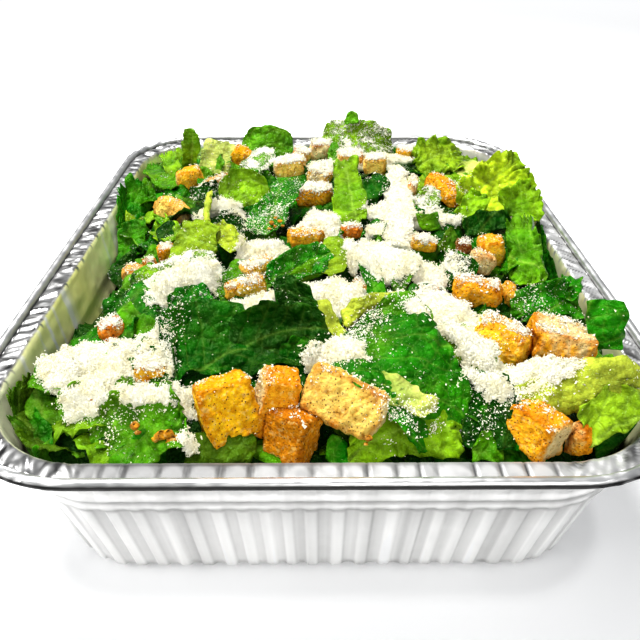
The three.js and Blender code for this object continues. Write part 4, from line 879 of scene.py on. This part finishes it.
def leaf(seed, path, width, face, cup, ruffles, roundness, tone,
         thick=FLESHY_LEAF, fleshy=0.0, dust=0.0, step=0.7, grain=None, curl=0.0):
    """A wavy cut piece of leaf along a bent midrib, quilted between its veins.

    The surface goes out from the midrib by b of half its width and rises by cup b2, by ruffles and
    frills that grow to the edge, by soft folds, and by a cap between the veins, which lie in its
    creases.
    """
    sheet = bent_sheet(seed, path, width, face, roundness, step, 40.0, (120, 84))
    t, a, b, u, edge, turn, flat = (sheet.t, sheet.a, sheet.b, sheet.u, sheet.edge, sheet.turn,
                                    sheet.flat)
    soft = 1 - fleshy
    jag = 1.3 * noise(flat, 7.5, 60) + noise(flat, 3.6, 61) + 0.6 * noise(flat, 1.9, 62)
    reach = b * width / 2 * sheet.ragged + np.sign(b) * edge ** 5 * jag * 0.9
    main, side, near, net = vein_lines(sheet, seed, width, grain)
    veins = soft * np.clip(np.maximum(np.maximum(0.8 * main, 0.5 * side), 0.28 * net), 0, 1)

    phase = math.pi * (2 * ruffles * u + b + 2 * draw(seed + 3))
    wave = 0.16 * b * b * np.sin(phase) * (ruffles > 0)
    frill = (1 - 0.7 * fleshy) * noise(flat, 6.5, 63) * edge ** 3 * (0.7 + 0.4 * ruffles)
    rounds = turn * (sheet.length + width) / 4 / FRILL + 1.3 * noise(flat, 8, 52)
    strength = curl * (0.75 + 0.9 * noise(flat, 10, 49))
    curled = (np.sin(2 * math.pi * rounds) * strength * edge ** 3
              + 0.8 * curl * edge ** 2 * noise(flat, 4.2, 48)
              + 0.35 * curl * edge ** 4 * noise(flat, 2.6, 51))
    crimp = noise(flat, 3.0, 64) * edge ** 5 * 0.35 * ruffles
    cap = 1 - 1.7 * near ** 2
    pucker = soft * ((0.75 + 0.25 * curl) * cap + 0.5 * noise(flat, 7.0, 65)
                     + 0.25 * noise(flat, 3.2, 66) - 0.5 * side - 0.4 * main)
    fold = 1.6 * noise(flat, 15, 57) + 0.9 * np.abs(noise(flat, 11, 56))
    streak = fleshy * 0.22 * noise(flat * [0.12, 1, 1], 1.5, 50)
    lift = (width / 2 * (cup * b * b + wave) + frill + curled + crimp + pucker
            + soft * min(width / 20, 1) * fold + streak)
    middle = (sheet.midrib + sheet.across * reach[..., None]
              + sheet.along * (np.sign(a) * edge ** 5 * jag * 0.8)[..., None]
              + sheet.normal * lift[..., None])
    half = thick / 2 if fleshy else LEAF_HALF
    middle = inside_pan(middle, half)
    out = unit(np.cross(np.gradient(middle, axis=0), np.gradient(middle, axis=1)))
    if fleshy:
        depth = half * np.sqrt(np.clip(1 - 0.93 * b * b, 0, 1)) * (1 - 0.7 * np.abs(t) ** 8)
    else:
        depth = half * (1 - 0.65 * edge ** 4)
    top = middle + out * depth[..., None]
    points, faces = plate(top, middle - out * depth[..., None])

    # painted highlight and shade: crests of the frills and curls are painted lighter and their
    # troughs darker, what lies deep in the heap is painted darker as shade, and cheese stays on what
    # faces up
    tint = leaf_tint(flat, tone, cap, soft, veins, fleshy)
    painted_light = ((frill + curled) / (1.2 + curl))[..., None]
    tint = tint * (1 + 0.35 * np.clip(painted_light, -1, 1)) + np.clip(painted_light, 0, 1) * [0.01, 0.02, 0]
    below = heap_top(middle[..., 0], middle[..., 1]) - middle[..., 2]
    tint = tint * (1 - 0.66 * smooth_step(below, *SHADE))[..., None]
    patchy = 0.75 + 0.5 * noise(middle, 6, 69) + 0.25 * noise(middle, 2.5, 68)
    powder = np.clip(1.25 * (dust * patchy * (0.4 + 0.6 * np.abs(out[..., 2]))), 0, 1)
    upper = np.concatenate([tint, powder[..., None]], -1).reshape(-1, 4)
    under = np.concatenate([tint, 0 * powder[..., None]], -1).reshape(-1, 4)
    return dict(points=points, faces=faces, tint=np.concatenate([upper, under]), top=top, out=out,
                dust=dust, powder=powder)


def fineness(y):
    """Grid spacing of a leaf: finer near the diner."""
    return 0.6 if y < -95 else 0.7 if y < 0 else 0.85


def romaine_leaves():
    """The large leaves, each from its row, and how far along the pan the middle of each is."""
    made, along_pan = {}, {}
    for k, (name, row) in enumerate(table(ROMAINE).items()):
        path, width, face = (row[0:3], row[3:6], row[6:9]), row[9], row[10:13]
        cup, ruffles, roundness, dust, curl, tone = row[13:]
        share = FLESHY.get(name, 0.0)
        along_pan[name] = path[1][1]
        made[name] = leaf(k + 1, path, width, face, cup, ruffles, roundness, tone,
                          thick=FLESHY_LEAF + share * RIB_LEAF, fleshy=min(1.0, share * 2),
                          dust=dust, grain=GRAIN.get(name), curl=curl, step=fineness(path[1][1]))
    return made, along_pan


LOOSE_LEAVES = 230
# darker greens for the other loose leaves: partly their own colour, partly painted shade for the
# gaps they fill
DARK_AND_SHADED_MIX = "dark deep dark emerald mid deep bright dark deepbright deep".split()
LIGHT_MIX = "mid light bright lime mid mid light olive bright fresh".split()
# painted shade: the core under the leaves is tinted near-black green, as the shade deep in the heap
CORE_SHADE_DARK, CORE_SHADE_LIGHT = (4, 26, 3), (16, 60, 6)


def loose_leaves():
    """Small leaves packed under the large ones, spread by the golden ratio over the whole heap.

    Those along the back and beside the near corners are lighter, curlier pieces from the heart.
    """
    made = []
    for k in range(LOOSE_LEAVES):
        x = ((k * 0.618034) % 1 - 0.5) * 232
        y = ((k + 0.5) / LOOSE_LEAVES - 0.5) * 292
        pale = (y > 25 and abs(x) > 52) or (x < -60 and y < -104)
        tone = (LIGHT_MIX if pale else DARK_AND_SHADED_MIX)[int(draw(k + 430) * 10) % 10]
        heading = 2 * math.pi * draw(k + 200)
        reach = 9 + 8 * draw(k + 300)
        sunk = 14 + (3 if y < -104 else 0)
        base = heap_top(x, y) - sunk + 4.5 * draw(k + 350)
        step_x, step_y = math.cos(heading) * reach, math.sin(heading) * reach
        tilt = 5 * (draw(k + 360) - 0.5)
        path = ((x - step_x, y - step_y, base - 2 - tilt), (x, y, base + 1.5 + 3 * draw(k + 370)),
                (x + step_x, y + step_y, base - 1 + tilt))
        face = (1.2 * (draw(k + 400) - 0.5), 1.2 * (draw(k + 500) - 0.6), 1)
        made.append(leaf(k + 700, path, 14 + 12 * draw(k + 380), face, 0.25 * draw(k + 410),
                         int(1 + 3 * draw(k + 420)), 0.5, tone, step=1.8,
                         curl=(1.6 if pale else 0.7) * draw(k + 425),
                         dust=0.8 * max(0.0, draw(k + 440) - 0.55)))
    return made


def heap_core():
    """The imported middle: rings of points over the floor, up the wall and over the crumpled top."""
    spokes, rings = 150, 46
    angle = np.linspace(0, 2 * math.pi, spokes, endpoint=False)
    reach = 1 / np.maximum(np.abs(np.cos(angle)) / BASE_HALF_X, np.abs(np.sin(angle)) / BASE_HALF_Y)
    way = np.stack([reach * np.cos(angle), reach * np.sin(angle), np.zeros(spokes)], -1)
    rows = [way * k + [0, 0, 1.6] for k in (0.02, 0.5, 0.88)]
    for height in (6, 20, 36, 50):
        rows.append(inside_pan(way * 1.2 + [0, 0, height], 1.5))
    for k in np.linspace(1.0, 0.02, rings):
        flat = way * k * 1.12
        top = heap_top(flat[:, 0], flat[:, 1]) - 11
        crumple = (noise(flat, 13, 71) * 2.6 + noise(flat, 5, 72) * 1.5
                   + np.abs(noise(flat, 8, 73)) * 2.5)
        flat = flat + np.stack([0 * top, 0 * top, top + crumple], -1)
        rows.append(inside_pan(flat, 1.5))
    points = np.concatenate(rows)
    faces = capped_rings(len(rows), spokes)
    # painted shade: the core's near-black green, mottled
    cloud = 0.5 + 0.5 * noise(points, 7, 74)
    tint = mix(linear(CORE_SHADE_DARK), linear(CORE_SHADE_LIGHT), cloud)
    return dict(points=points, faces=faces, tint=np.column_stack([tint, 0 * cloud]))


leaves, along_pan = romaine_leaves()
extra_leaves = loose_leaves()
piece("heap_core", [heap_core()], romaine, ["lettuce_heap"])
piece("loose_leaves", extra_leaves, romaine, ["lettuce_heap"])
# The large leaves go by how far along the pan their middles are.
for name, low, high in (("front_leaves", -200, -95), ("broad_leaves", -95, -36),
                        ("middle_leaves", -36, 60), ("far_leaves", 60, 200)):
    chosen = [leaves[key] for key, y in along_pan.items() if low <= y < high]
    piece(name, chosen, romaine, ["lettuce_heap"])


# ------------------------------------------------------------------ croutons
BREAD = {
    "gold": (246, 196, 54), "vivid": (250, 196, 34), "pale": (242, 208, 108),
    "brown": (214, 142, 26), "orange": (248, 178, 40), "tan": (236, 196, 108),
    "crumb": (250, 232, 176), "russet": (140, 86, 50), "yellow": (246, 208, 78),
    "rusty": (222, 132, 44),
}
BROWNED = linear((208, 124, 12))
# Each crouton: its name, its tone, how much cheese lies on its top, and which side is bare crumb.
TOASTED = """
front_a  vivid    0.08   -0.3  -0.4    -1
front_b  orange   0.14   -0.8  -0.1   0.7
front_c  brown    0.05
front_d  pale     0.22      1  -0.3   0.4
front_e  orange    0.1    0.9  -0.6   0.1
front_f  orange    0.1     -1  -0.2   0.6
right_a  gold     0.42
right_b  orange   0.35      0  -0.5     1
right_c  orange   0.55
right_d  yellow    0.1
right_e  gold      0.1
right_f  crumb    0.25
right_g  russet   0.45
right_h  orange    0.3      1  -0.6     0
back_a   gold      0.8
back_b   pale     0.85
back_c   pale      0.9     -1  -0.6     0
back_d   pale      0.9     -1  -0.5   0.2
back_e   pale     0.85
back_f   crumb     0.8
back_g   gold     0.85   -0.8    -1     0
mid_a    rusty     0.6
mid_b    gold      0.9     -1     0   0.3
mid_c    crumb     0.6
mid_e    yellow   0.85
mid_f    tan       0.6      0    -1     0
mid_g    orange      1
mid_h    gold      0.5
mid_i    yellow    0.6     -1  -0.2   0.2
mid_j    yellow    0.6
left_a   pale     0.05    0.5  -0.7  -0.5
left_b   gold      0.1     -1  -0.5     0
left_c   vivid    0.15
left_d   tan       0.5
left_e   vivid     0.5
left_f   tan       0.3
left_g   brown     0.5
left_h   yellow    0.3
left_i   rusty     0.7
left_j   gold      0.9
"""
# Croutons that their neighbours only seem to cut: the middle, the size and the turns of each.
WHOLE = {"front_a": ((-33.5, -129.5, 81), (19, 15, 22), (24, -24, -4)),
         "front_b": ((-17, -127, 81.5), (13, 13, 24), (10, -6, 18)),
         "front_c": ((-10.4, -135.5, 75), (16, 13.5, 19), (-32, -14, 0)),
         "front_e": ((73, -136.5, 77.5), (17.5, 14, 15), (-55, -14, 0))}
VOXEL = 0.85            # grid that the bread is remeshed on
WELD = 0.02             # corners closer than this are made one before that
ROUNDING = 17           # passes that round off its edges
BOX_FACES = [(0, 1, 3, 2), (4, 6, 7, 5), (0, 4, 5, 1), (2, 3, 7, 6), (0, 2, 6, 4), (1, 5, 7, 3)]


def whole_bread(middle, size, turns):
    """A plain box turned about Y, then X, then Z, as a mesh of its own."""
    turn_z, turn_x, turn_y = np.radians(turns)
    turned = np.array(Euler((turn_x, turn_y, turn_z), "YXZ").to_matrix())
    corners = (np.indices((2, 2, 2)).reshape(3, 8).T - 0.5) * size @ turned.T + middle
    mesh = bpy.data.meshes.new("whole")
    mesh.from_pydata(corners * MM, [], BOX_FACES)
    return mesh


def read(items, key, width, kind=float):
    """A value of each vertex, edge or corner of a mesh, as an array `width` wide."""
    values = np.empty(len(items) * width, kind)
    items.foreach_get(key, values)
    return values.reshape(-1, width)


def rough_bread(solids):
    """The points, faces, outward ways and edges of solids remeshed on a grid and rounded off."""
    stand_ins = []
    for solid in solids:
        stand_in = bpy.data.objects.new("rough", solid)
        bpy.context.scene.collection.objects.link(stand_in)
        weld = stand_in.modifiers.new("weld", "WELD")
        weld.merge_threshold = WELD * MM
        remesh = stand_in.modifiers.new("remesh", "REMESH")
        remesh.mode, remesh.voxel_size = "VOXEL", VOXEL * MM
        rounding = stand_in.modifiers.new("rounding", "SMOOTH")
        rounding.factor, rounding.iterations = 0.7, ROUNDING
        stand_ins.append(stand_in)
    bpy.context.view_layer.update()
    graph = bpy.context.evaluated_depsgraph_get()
    made = []
    for stand_in in stand_ins:
        mesh = bpy.data.meshes.new_from_object(stand_in.evaluated_get(graph))
        made.append((read(mesh.vertices, "co", 3) / MM,
                     read(mesh.loops, "vertex_index", 1, np.int32).reshape(-1, 4).astype(int),
                     read(mesh.vertices, "normal", 3), read(mesh.edges, "vertices", 2, np.int32)))
        bpy.data.meshes.remove(mesh)
    for stand_in in stand_ins:
        mesh = stand_in.data
        bpy.data.objects.remove(stand_in)
        bpy.data.meshes.remove(mesh)
    return made


def sharpness(points, ways, edges):
    """How sharply the surface bends outwards at each point, per mm, averaged round about."""
    i, j = edges.T
    gap = points[j] - points[i]
    bend = np.sum((ways[j] - ways[i]) * gap, -1) / np.maximum(np.sum(gap * gap, -1), 1e-9)
    count = np.bincount(i, minlength=len(points)) + np.bincount(j, minlength=len(points))
    value = (np.bincount(i, bend, len(points)) + np.bincount(j, bend, len(points))) / count
    for _ in range(5):
        spread = np.bincount(i, value[j], len(points)) + np.bincount(j, value[i], len(points))
        value = 0.4 * value + 0.6 * spread / count
    return value


def crouton(k, shape, tone, cheesed, *crumb_side):
    """Bread moved in and out by noise from 8 down to 1.1 mm with open pores, browned at its edges,
    with painted shade in its pores and on its upward faces.

    The crumb is drawn out along one line of the loaf, so its noise is a third as fine that way.
    """
    points, faces, ways, edges = shape
    here = points + 37.0 * k
    drawn_out = here * [1, 1, 0.35]
    bend = sharpness(points, ways, edges)
    pores = smooth_step(0.42 - cells(drawn_out, 1.9, 82)[0], 0, 0.3)
    lump = (0.8 * noise(here, 8, 83) + 0.42 * noise(here, 3.2, 84) + 0.42 * noise(here, 1.5, 85)
            + 0.32 * noise(drawn_out, 1.1, 81))
    moved = points + ways * (lump - 0.5 * pores)[:, None]
    base = linear(BREAD[tone])
    cloud = 0.5 + 0.5 * noise(here, 5.5, 86)
    fine = noise(drawn_out, 1.5, 87)
    tint = mix(base * 0.96, base * 1.4, cloud)
    brown = smooth_step(bend + 0.09 * noise(here, 4.5, 88) + 0.04 * fine, 0.06, 0.24)
    patch = smooth_step(noise(here, 6.5, 89) + 0.45 * fine, 0.15, 0.8)
    tint = mix(tint, BROWNED * (0.5 if tone in ("brown", "russet") else 1.0),
               np.clip(0.52 * brown + 0.46 * patch, 0, 0.85))
    # painted shade in the pores, and the crumb's darker fine grain
    hollow = np.clip(pores + 0.45 * smooth_step(fine, 0.05, 0.7), 0, 1)
    tint = mix(tint, tint * [0.80, 0.68, 0.5], hollow)
    # painted shade: upward faces are painted darker and deeper gold, against the light from above
    tint = tint * (1 - smooth_step(ways[:, 2], 0.55, 0.95)[:, None] * [0.18, 0.28, 0.42])
    if crumb_side:
        bare = smooth_step(ways @ unit(crumb_side) + 0.16 * fine, 0.5, 0.85) * (1 - 0.8 * brown)
        tint = mix(tint, linear(BREAD["crumb"]) * (0.86 + 0.14 * fine)[:, None], 0.9 * bare)
    snow = (0.9 * ways[:, 2] + 0.3 * noise(here, 3.2, 90) + 0.2 * noise(here, 7, 91)
            + 0.95 * cheesed - 0.85)
    snow = np.clip(snow, 0, 1) * smooth_step(ways[:, 2], -0.1, 0.45)
    return dict(points=moved, faces=[faces], tint=np.column_stack([tint, snow]), ways=ways,
                snow=snow)


def solid_of(name):
    """The solid that a crouton is made from: its own node's, or a whole box."""
    if name in WHOLE:
        return whole_bread(*WHOLE[name])
    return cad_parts["crouton_" + name].data.copy()


toast_rows = table(TOASTED)
croutons = {}
for number, (name, shape) in enumerate(zip(toast_rows, rough_bread(map(solid_of, toast_rows)))):
    croutons[name] = crouton(number, shape, *toast_rows[name])
    piece("toast_" + name, [croutons[name]], toasted, ["crouton_" + name])


# Crumbs that broke off: the middle and the size of each.
CRUMBS = (((-64.6, -135.9, 79), 3.2), ((-63.0, -138.0, 78), 1.8), ((-54.7, -139.6, 78), 3.6),
          ((-52.2, -139.6, 79), 3.0), ((-50.2, -140.8, 77.5), 3.4), ((-52.4, -141.8, 76), 2.6),
          ((-56.8, -140.2, 77), 2.0), ((-84.2, -122.4, 80.5), 2.0), ((-82.4, -123.6, 80), 1.6),
          ((-81.0, -122.0, 80.5), 1.3), ((14.9, -141.8, 79), 2.2), ((14.2, -143.2, 77.5), 1.5),
          ((-25.3, -1.8, 88.8), 2.4), ((-23.4, 1.7, 89.9), 1.9), ((-20.7, -0.4, 89.3), 2.6),
          ((-18.2, 1.7, 89.9), 1.7), ((-23.1, -4.7, 88.0), 2.0), ((-19.6, -4.0, 88.2), 1.7),
          ((-26.1, -6.1, 87.6), 1.6))
RING, RINGS = 12, 8     # points round a crumb, and rings from its top to its bottom


def crumb(k, middle, size):
    """A broken crumb: a ball of rings of points, pushed in and out by about a third."""
    around, down = np.meshgrid(np.linspace(0, 2 * math.pi, RING, endpoint=False),
                               np.linspace(0.08, 0.92, RINGS) * math.pi)
    way = np.stack([np.cos(around) * np.sin(down), np.sin(around) * np.sin(down), np.cos(down)], -1)
    rough = 1 + 0.35 * noise(way + 9.0 * k, 0.9, 94) + 0.2 * noise(way + 9.0 * k, 0.4, 95)
    points = np.array(middle) + way * (rough * size / 2)[..., None] * [1.2, 1.0, 0.8]
    points = points.reshape(-1, 3)
    share = 0.5 + 0.5 * noise(points, 1.2, 96)
    tint = mix(linear(BREAD["orange"]), linear(BREAD["russet"]), share)
    # the rings go from the top down, so the sides are turned round; both caps still face inwards
    sides, top, bottom = capped_rings(RINGS, RING)
    return dict(points=points, faces=[sides[:, ::-1], top, bottom],
                tint=np.column_stack([tint, 0 * share]))


crumbs = [crumb(k, *row) for k, row in enumerate(CRUMBS)]
piece("bread_crumbs", crumbs, toasted, ["lettuce_heap"])


# ------------------------------------------------------------------ grated cheese
# Each drift: its name, where it starts, passes and ends, and its width.
DRIFTS = """
snow_left        -111  -97   76   -84 -104   80   -56 -104   83  35
snow_left_tail    -91 -106   78   -85 -118   77   -80 -127   76  22
snow_left_head    -62  -85   87   -68  -95   84   -76 -106   82  16
snow_fold         -75  -63   82   -62  -54   88   -45  -51   91  16
snow_mid_left     -42  -73   87   -23  -71   89     2  -71   92  14
snow_centre       -15  -71   91     6  -69   93    18  -77   91  22
snow_plateau       12  -34   93    28  -42   93    42  -46   91  28
snow_ridge         48   78   93    43   23   93    37  -25   93  16
snow_right         30  -70   90    48  -87   93    70 -101   91  28
snow_low_right     50 -116   87    70 -121   88    95 -114   91  19
snow_front_mid     -7 -104   84     5 -108   87    14 -117   87  14
snow_back_left    -68   14   86   -57   18   88   -40   10   88  12
snow_centre_left  -40  -29   88   -28  -25   91   -14  -32   92  12
snow_centre_back  -11   -1   92    -1   -2   94    10  -16   93  18
snow_back         -27   81   88     6   87   90    41   98   91  10
snow_speckled      39  -51   87    48  -48   90    56  -53   88  14
snow_front        -78 -119   79   -58 -122   81   -42 -124   81  15
snow_right_tail    43  -97   93    54 -107   91    64 -114   89  12
snow_back_patch   -62   44   88   -52   52   91   -40   58   92  10
snow_slit_a        24   11   93    31   11   94    38    4   93  11
snow_slit_b        23   -6   91    30   -8   92    36  -12   92  10
snow_back_right    10   96   90    36   94   92    60   93   91  8
snow_chip         -48 -142   75  -45.5 -140.5   76   -43 -139   76  5
snow_mid_right     48    9   87    61   10   88    75   11   86  9
"""
# Where a pinch fell: its place in plan, how far it spread, and how many grains it had.
PINCHES = (
    (12, -101, 7, 700), (20, -93, 5, 260), (56, -134, 4, 110), (63, -130, 4, 90),
    (22, -136, 3, 220), (29, -136.5, 3, 240), (37, -135, 3, 200), (-23, -125, 3, 130),
    (-36, -3, 6, 380), (-24, 9, 6, 380), (-62, -90, 7, 350), (-74, -130, 7, 260),
    (-95, -58, 9, 320), (-30, -60, 8, 350), (34, 62, 11, 500), (-32, 84, 12, 600),
    (72, 34, 9, 320), (-8, 60, 10, 450), (62, -36, 9, 700), (-62, 56, 9, 350), (88, -66, 7, 220))
STRAY_COUNT = 150       # grains that fell anywhere on the salad
GRAIN_SIZE, LEAF_GRAIN_SIZE, STRAY_SIZE, BREAD_GRAIN_SIZE = 0.36, 0.34, 0.38, 0.4
DRIFT_GRAINS = 6.0      # grains to a square millimetre of a drift
RIM_GRAINS = 0.6        # and of those that fell beyond its edge
LEAF_GRAINS = 2.0       # and of a fully dusted leaf
BREAD_GRAINS = 2.5      # and of a fully covered crouton
DRIFT_STEP = 0.8        # grid spacing of a drift
DRIFT_SIDE = 1.6        # how far below its midline a drift reaches
SINK = 2.6              # how much lower a drift lies against a crouton than over leaves
STRAY = 2.0             # how far grains stray beyond a drift
GROUND_STEP = 1.5       # side of a square of the ground map
GROUND_HALF = np.array([135.0, 165.0])      # half of what the map covers
NONE = 1e-6             # the least that a place weighs, so that none is left out


def square_of(points, size):
    """The square of a ground map of the given size that each point is over."""
    at = np.round((points[..., :2] + GROUND_HALF) / GROUND_STEP).astype(int)
    return np.clip(at[..., 0], 0, size[0] - 1), np.clip(at[..., 1], 0, size[1] - 1)


def ground_map(parts):
    """Highest point of the parts over each square of the plan, with gaps filled from beside."""
    size = (2 * GROUND_HALF / GROUND_STEP).astype(int) + 1
    top = np.full(size, -1.0)
    for part in parts:
        np.maximum.at(top, square_of(part, size), part[:, 2])
    for _ in range(2):
        beside = np.max([np.roll(top, shift, axis) for shift in (-1, 1) for axis in (0, 1)], axis=0)
        top = np.where(top < 0, beside, top)
    return top


def ground_height(ground, points):
    """What a ground map says under each point."""
    return ground[square_of(points, ground.shape)]


def soften(ground, passes):
    """Each square moved towards the mean of its neighbours, a few times over."""
    for _ in range(passes):
        mean = sum(np.roll(ground, shift, axis) for shift in (-1, 1) for axis in (0, 1)) / 4
        ground = 0.5 * ground + 0.5 * mean
    return ground


def drift(seed, path, width, ground, bread):
    """A low pillow of grated cheese along a bent line, following the leaves, lower beside croutons.

    It is 0.3 thick at its ragged edge and 2.6 in its middle, with lumps of 9 and 4 and grains of
    1.7 and 1.0 on it; drifts narrower than 12 are thinner.
    """
    sheet = bent_sheet(seed, path, width, (0, -3.0, 9.0), 0.8, DRIFT_STEP, 30.0)
    edge, flat = sheet.edge, sheet.flat
    jag = edge ** 4 * min(width / 14, 1) * (1.8 * noise(flat, 5, 101) + 1.4 * noise(flat, 2, 102))
    reach = sheet.b * sheet.ragged * 0.46 * width + np.sign(sheet.b) * jag
    middle = (sheet.midrib + sheet.across * reach[..., None]
              + sheet.along * (np.sign(sheet.a) * jag)[..., None])
    under = ground_height(ground, middle)
    middle[..., 2] += np.clip(under + 0.3 - middle[..., 2], -5.0, 4.5)
    middle[..., 2] -= SINK * smooth_step(ground_height(bread, middle), 0.1, 0.7)
    grain = (0.35 * noise(flat, 1.7, 103) + 0.3 * noise(flat, 1.0, 104) + 0.7 * noise(flat, 4, 105)
             + 1.0 * noise(flat, 9, 106))
    crown = 2.3 * (1 - edge ** 2) + grain * (0.4 + 0.6 * (1 - edge ** 4))
    thick = 0.3 + min(width / 12, 1) * crown
    middle = inside_pan(middle, 2.0)
    upper = middle + sheet.normal * np.maximum(thick, 0.1)[..., None]
    points, faces = plate(upper, middle - sheet.normal * DRIFT_SIDE)
    return dict(points=points, faces=faces, top=upper, edge=edge, normal=sheet.normal)


def grains(middle, up, size, chance):
    """Grated cheese: four-cornered solids, each turned at random and drawn out one way."""
    corners = np.array([[1, 1, 1], [1, -1, -1], [-1, 1, -1], [-1, -1, 1]]) / 2
    pattern = np.array([[0, 1, 2], [0, 3, 1], [0, 2, 3], [1, 3, 2]])
    count = len(middle)
    way = unit(chance.normal(size=(count, 3)) * [1, 1, 0.6])
    side = unit(np.cross(up, way) + chance.normal(0, 0.05, (count, 3)))
    rise = np.cross(way, side)
    axes = np.stack([way * chance.uniform(1.0, 2.0, (count, 1)), side * 0.75, rise * 0.75], 1)
    points = middle[:, None] + np.einsum("kc,ncx->nkx", corners, axes) * size[:, None, None]
    faces = (pattern[None] + 4 * np.arange(count)[:, None, None]).reshape(-1, 3)
    return dict(points=points.reshape(-1, 3), faces=[faces])


def scatter(places, ways, count, weight, chance, lift=0.1, size=GRAIN_SIZE):
    """`count` grains on points drawn by weight, a little above the surface and off those points."""
    total = weight.sum()
    if count < 1 or total <= 0:
        return []
    chosen = chance.choice(len(places), int(count), p=weight / total)
    up = unit(ways[chosen])
    beside = places[chosen] + chance.normal(0, 0.42, up.shape)
    middle = beside + up * (lift + chance.exponential(0.22, (len(up), 1)))
    return [grains(middle, up, size * np.exp(chance.normal(0, 0.35, len(up))), chance)]


def areas(top):
    """The area of the surface round each point of a grid."""
    return (np.linalg.norm(np.gradient(top, axis=0), axis=-1)
            * np.linalg.norm(np.gradient(top, axis=1), axis=-1))


def grains_of_drift(part, ground, chance):
    """Grains thick on a drift, and thinner on whatever lies beyond its edge."""
    places = part["top"].reshape(-1, 3)
    area = areas(part["top"])
    ways = np.broadcast_to(part["normal"], places.shape)
    made = scatter(places, ways, DRIFT_GRAINS * area.sum(), area.ravel(), chance)
    rim = places[part["edge"].ravel() > 0.75]
    strays = rim[chance.integers(len(rim), size=int(RIM_GRAINS * area.sum()))]
    off = chance.normal(0, STRAY, (len(strays), 2))
    strays = strays + np.concatenate([off, np.zeros((len(strays), 1))], 1)
    strays[:, 2] = np.minimum(ground_height(ground, strays), strays[:, 2] + 4)
    strays = strays[strays[:, 2] > 40]
    ways = np.broadcast_to(part["normal"], strays.shape)
    return made + scatter(inside_pan(strays, 1.0), ways, len(strays), np.ones(len(strays)), chance)


def all_cheese():
    """Drifts over the leaves and bread, grains thick on them and thinning beyond, and dustings."""
    chance = np.random.default_rng(12)
    tops = [part["top"].reshape(-1, 3) for part in (*leaves.values(), *extra_leaves)]
    soft = soften(ground_map(tops), 3)
    toast = [part["points"] for part in croutons.values()]
    bread = soften((ground_map(toast) > 0).astype(float), 3)
    tops += toast
    ground = ground_map(tops)
    drifts = [drift(k + 90, (row[0:3], row[3:6], row[6:9]), row[9], soft, bread)
              for k, row in enumerate(table(DRIFTS).values())]
    made = []
    for part in drifts:
        made += grains_of_drift(part, ground, chance)
    for part in leaves.values():
        if part["dust"] > 0:
            weight = areas(part["top"]).ravel() * part["powder"].ravel() ** 1.5
            made += scatter(part["top"].reshape(-1, 3), part["out"].reshape(-1, 3),
                            LEAF_GRAINS * weight.sum(), weight + NONE, chance, 0.05,
                            LEAF_GRAIN_SIZE)
    for part in croutons.values():
        covered = part["snow"].sum() * VOXEL ** 2
        made += scatter(part["points"], part["ways"], BREAD_GRAINS * covered,
                        part["snow"] ** 2 + NONE, chance, size=BREAD_GRAIN_SIZE)

    # pinches fall on what is uppermost, and the last grains on what stands high
    everywhere = np.concatenate(tops)
    x, y, z = everywhere.T
    up = np.broadcast_to([0, 0, 1.0], everywhere.shape)
    upper = smooth_step(z - ground_height(ground, everywhere), -3, -0.5)
    for middle_x, middle_y, spread, count in PINCHES:
        away = ((x - middle_x) ** 2 + (y - middle_y) ** 2) / spread ** 2
        made += scatter(everywhere, up, count, np.exp(-away) * upper, chance, 0.0)
    high = smooth_step(z - heap_top(x, y), -6, 2)
    return drifts, made + scatter(everywhere, up, STRAY_COUNT, high + NONE, chance, 0.0, STRAY_SIZE)


def shared_out(parts, count):
    """The parts in `count` runs, each with about as many faces."""
    so_far = np.cumsum([len(part["faces"][0]) for part in parts])
    run = np.minimum(so_far * count // (so_far[-1] + 1), count - 1)
    return [[part for part, k in zip(parts, run) if k == number] for number in range(count)]


drifts, loose_grains = all_cheese()
piece("cheese_drifts", drifts, cheese, ["lettuce_heap"])
for number, some in enumerate(shared_out(loose_grains, 6), 1):
    piece("cheese_grains_%d" % number, some, cheese, ["lettuce_heap"], smooth=False)


# ------------------------------------------------------------------ table, lights and camera
TABLE_HALF = 4.0        # metres, as are the places of the lights


def table_top():
    """A flat square table under the pan, large enough to fill the view."""
    mesh = bpy.data.meshes.new("table_top")
    corners = [(x * TABLE_HALF, y * TABLE_HALF, 0) for x, y in ((-1, -1), (1, -1), (1, 1), (-1, 1))]
    mesh.from_pydata(corners, [], [(0, 1, 2, 3)])
    mesh.materials.append(table_finish())
    made = bpy.data.objects.new("table_top", mesh)
    bpy.context.scene.collection.objects.link(made)


def soft_light(name, place, size, power, aim=(0, 0, 0.06)):
    """A square area light of the given side, turned towards `aim`."""
    data = bpy.data.lights.new(name, "AREA")
    data.shape, data.size, data.energy = "SQUARE", size, power
    made = bpy.data.objects.new(name, data)
    made.location = place
    made.rotation_euler = (Vector(aim) - Vector(place)).to_track_quat("-Z", "Y").to_euler()
    bpy.context.scene.collection.objects.link(made)


table_top()
soft_light("overhead", (-0.25, 0.30, 1.25), 0.42, 22)
soft_light("window", (-1.1, -0.35, 0.85), 0.7, 7)
soft_light("front_fill", (0.35, -1.15, 0.75), 0.8, 7)
world = bpy.data.worlds.new("studio")
world.use_nodes = True
background = world.node_tree.nodes["Background"].inputs
background["Color"].default_value = (0.93, 0.96, 1.0, 1)
background["Strength"].default_value = 0.25
scene = bpy.context.scene
scene.world = world
scene.view_settings.view_transform = "Standard"
scene.view_settings.look = "Medium High Contrast"

eye = bpy.data.cameras.new("eye")
eye.lens, eye.sensor_width = LENS, SENSOR
camera = bpy.data.objects.new("eye", eye)
camera.location = [c * MM for c in CAMERA_PLACE]
camera.rotation_euler = (math.pi / 2 - CAMERA_DOWN, 0, CAMERA_TURN)
scene.collection.objects.link(camera)
scene.camera = camera
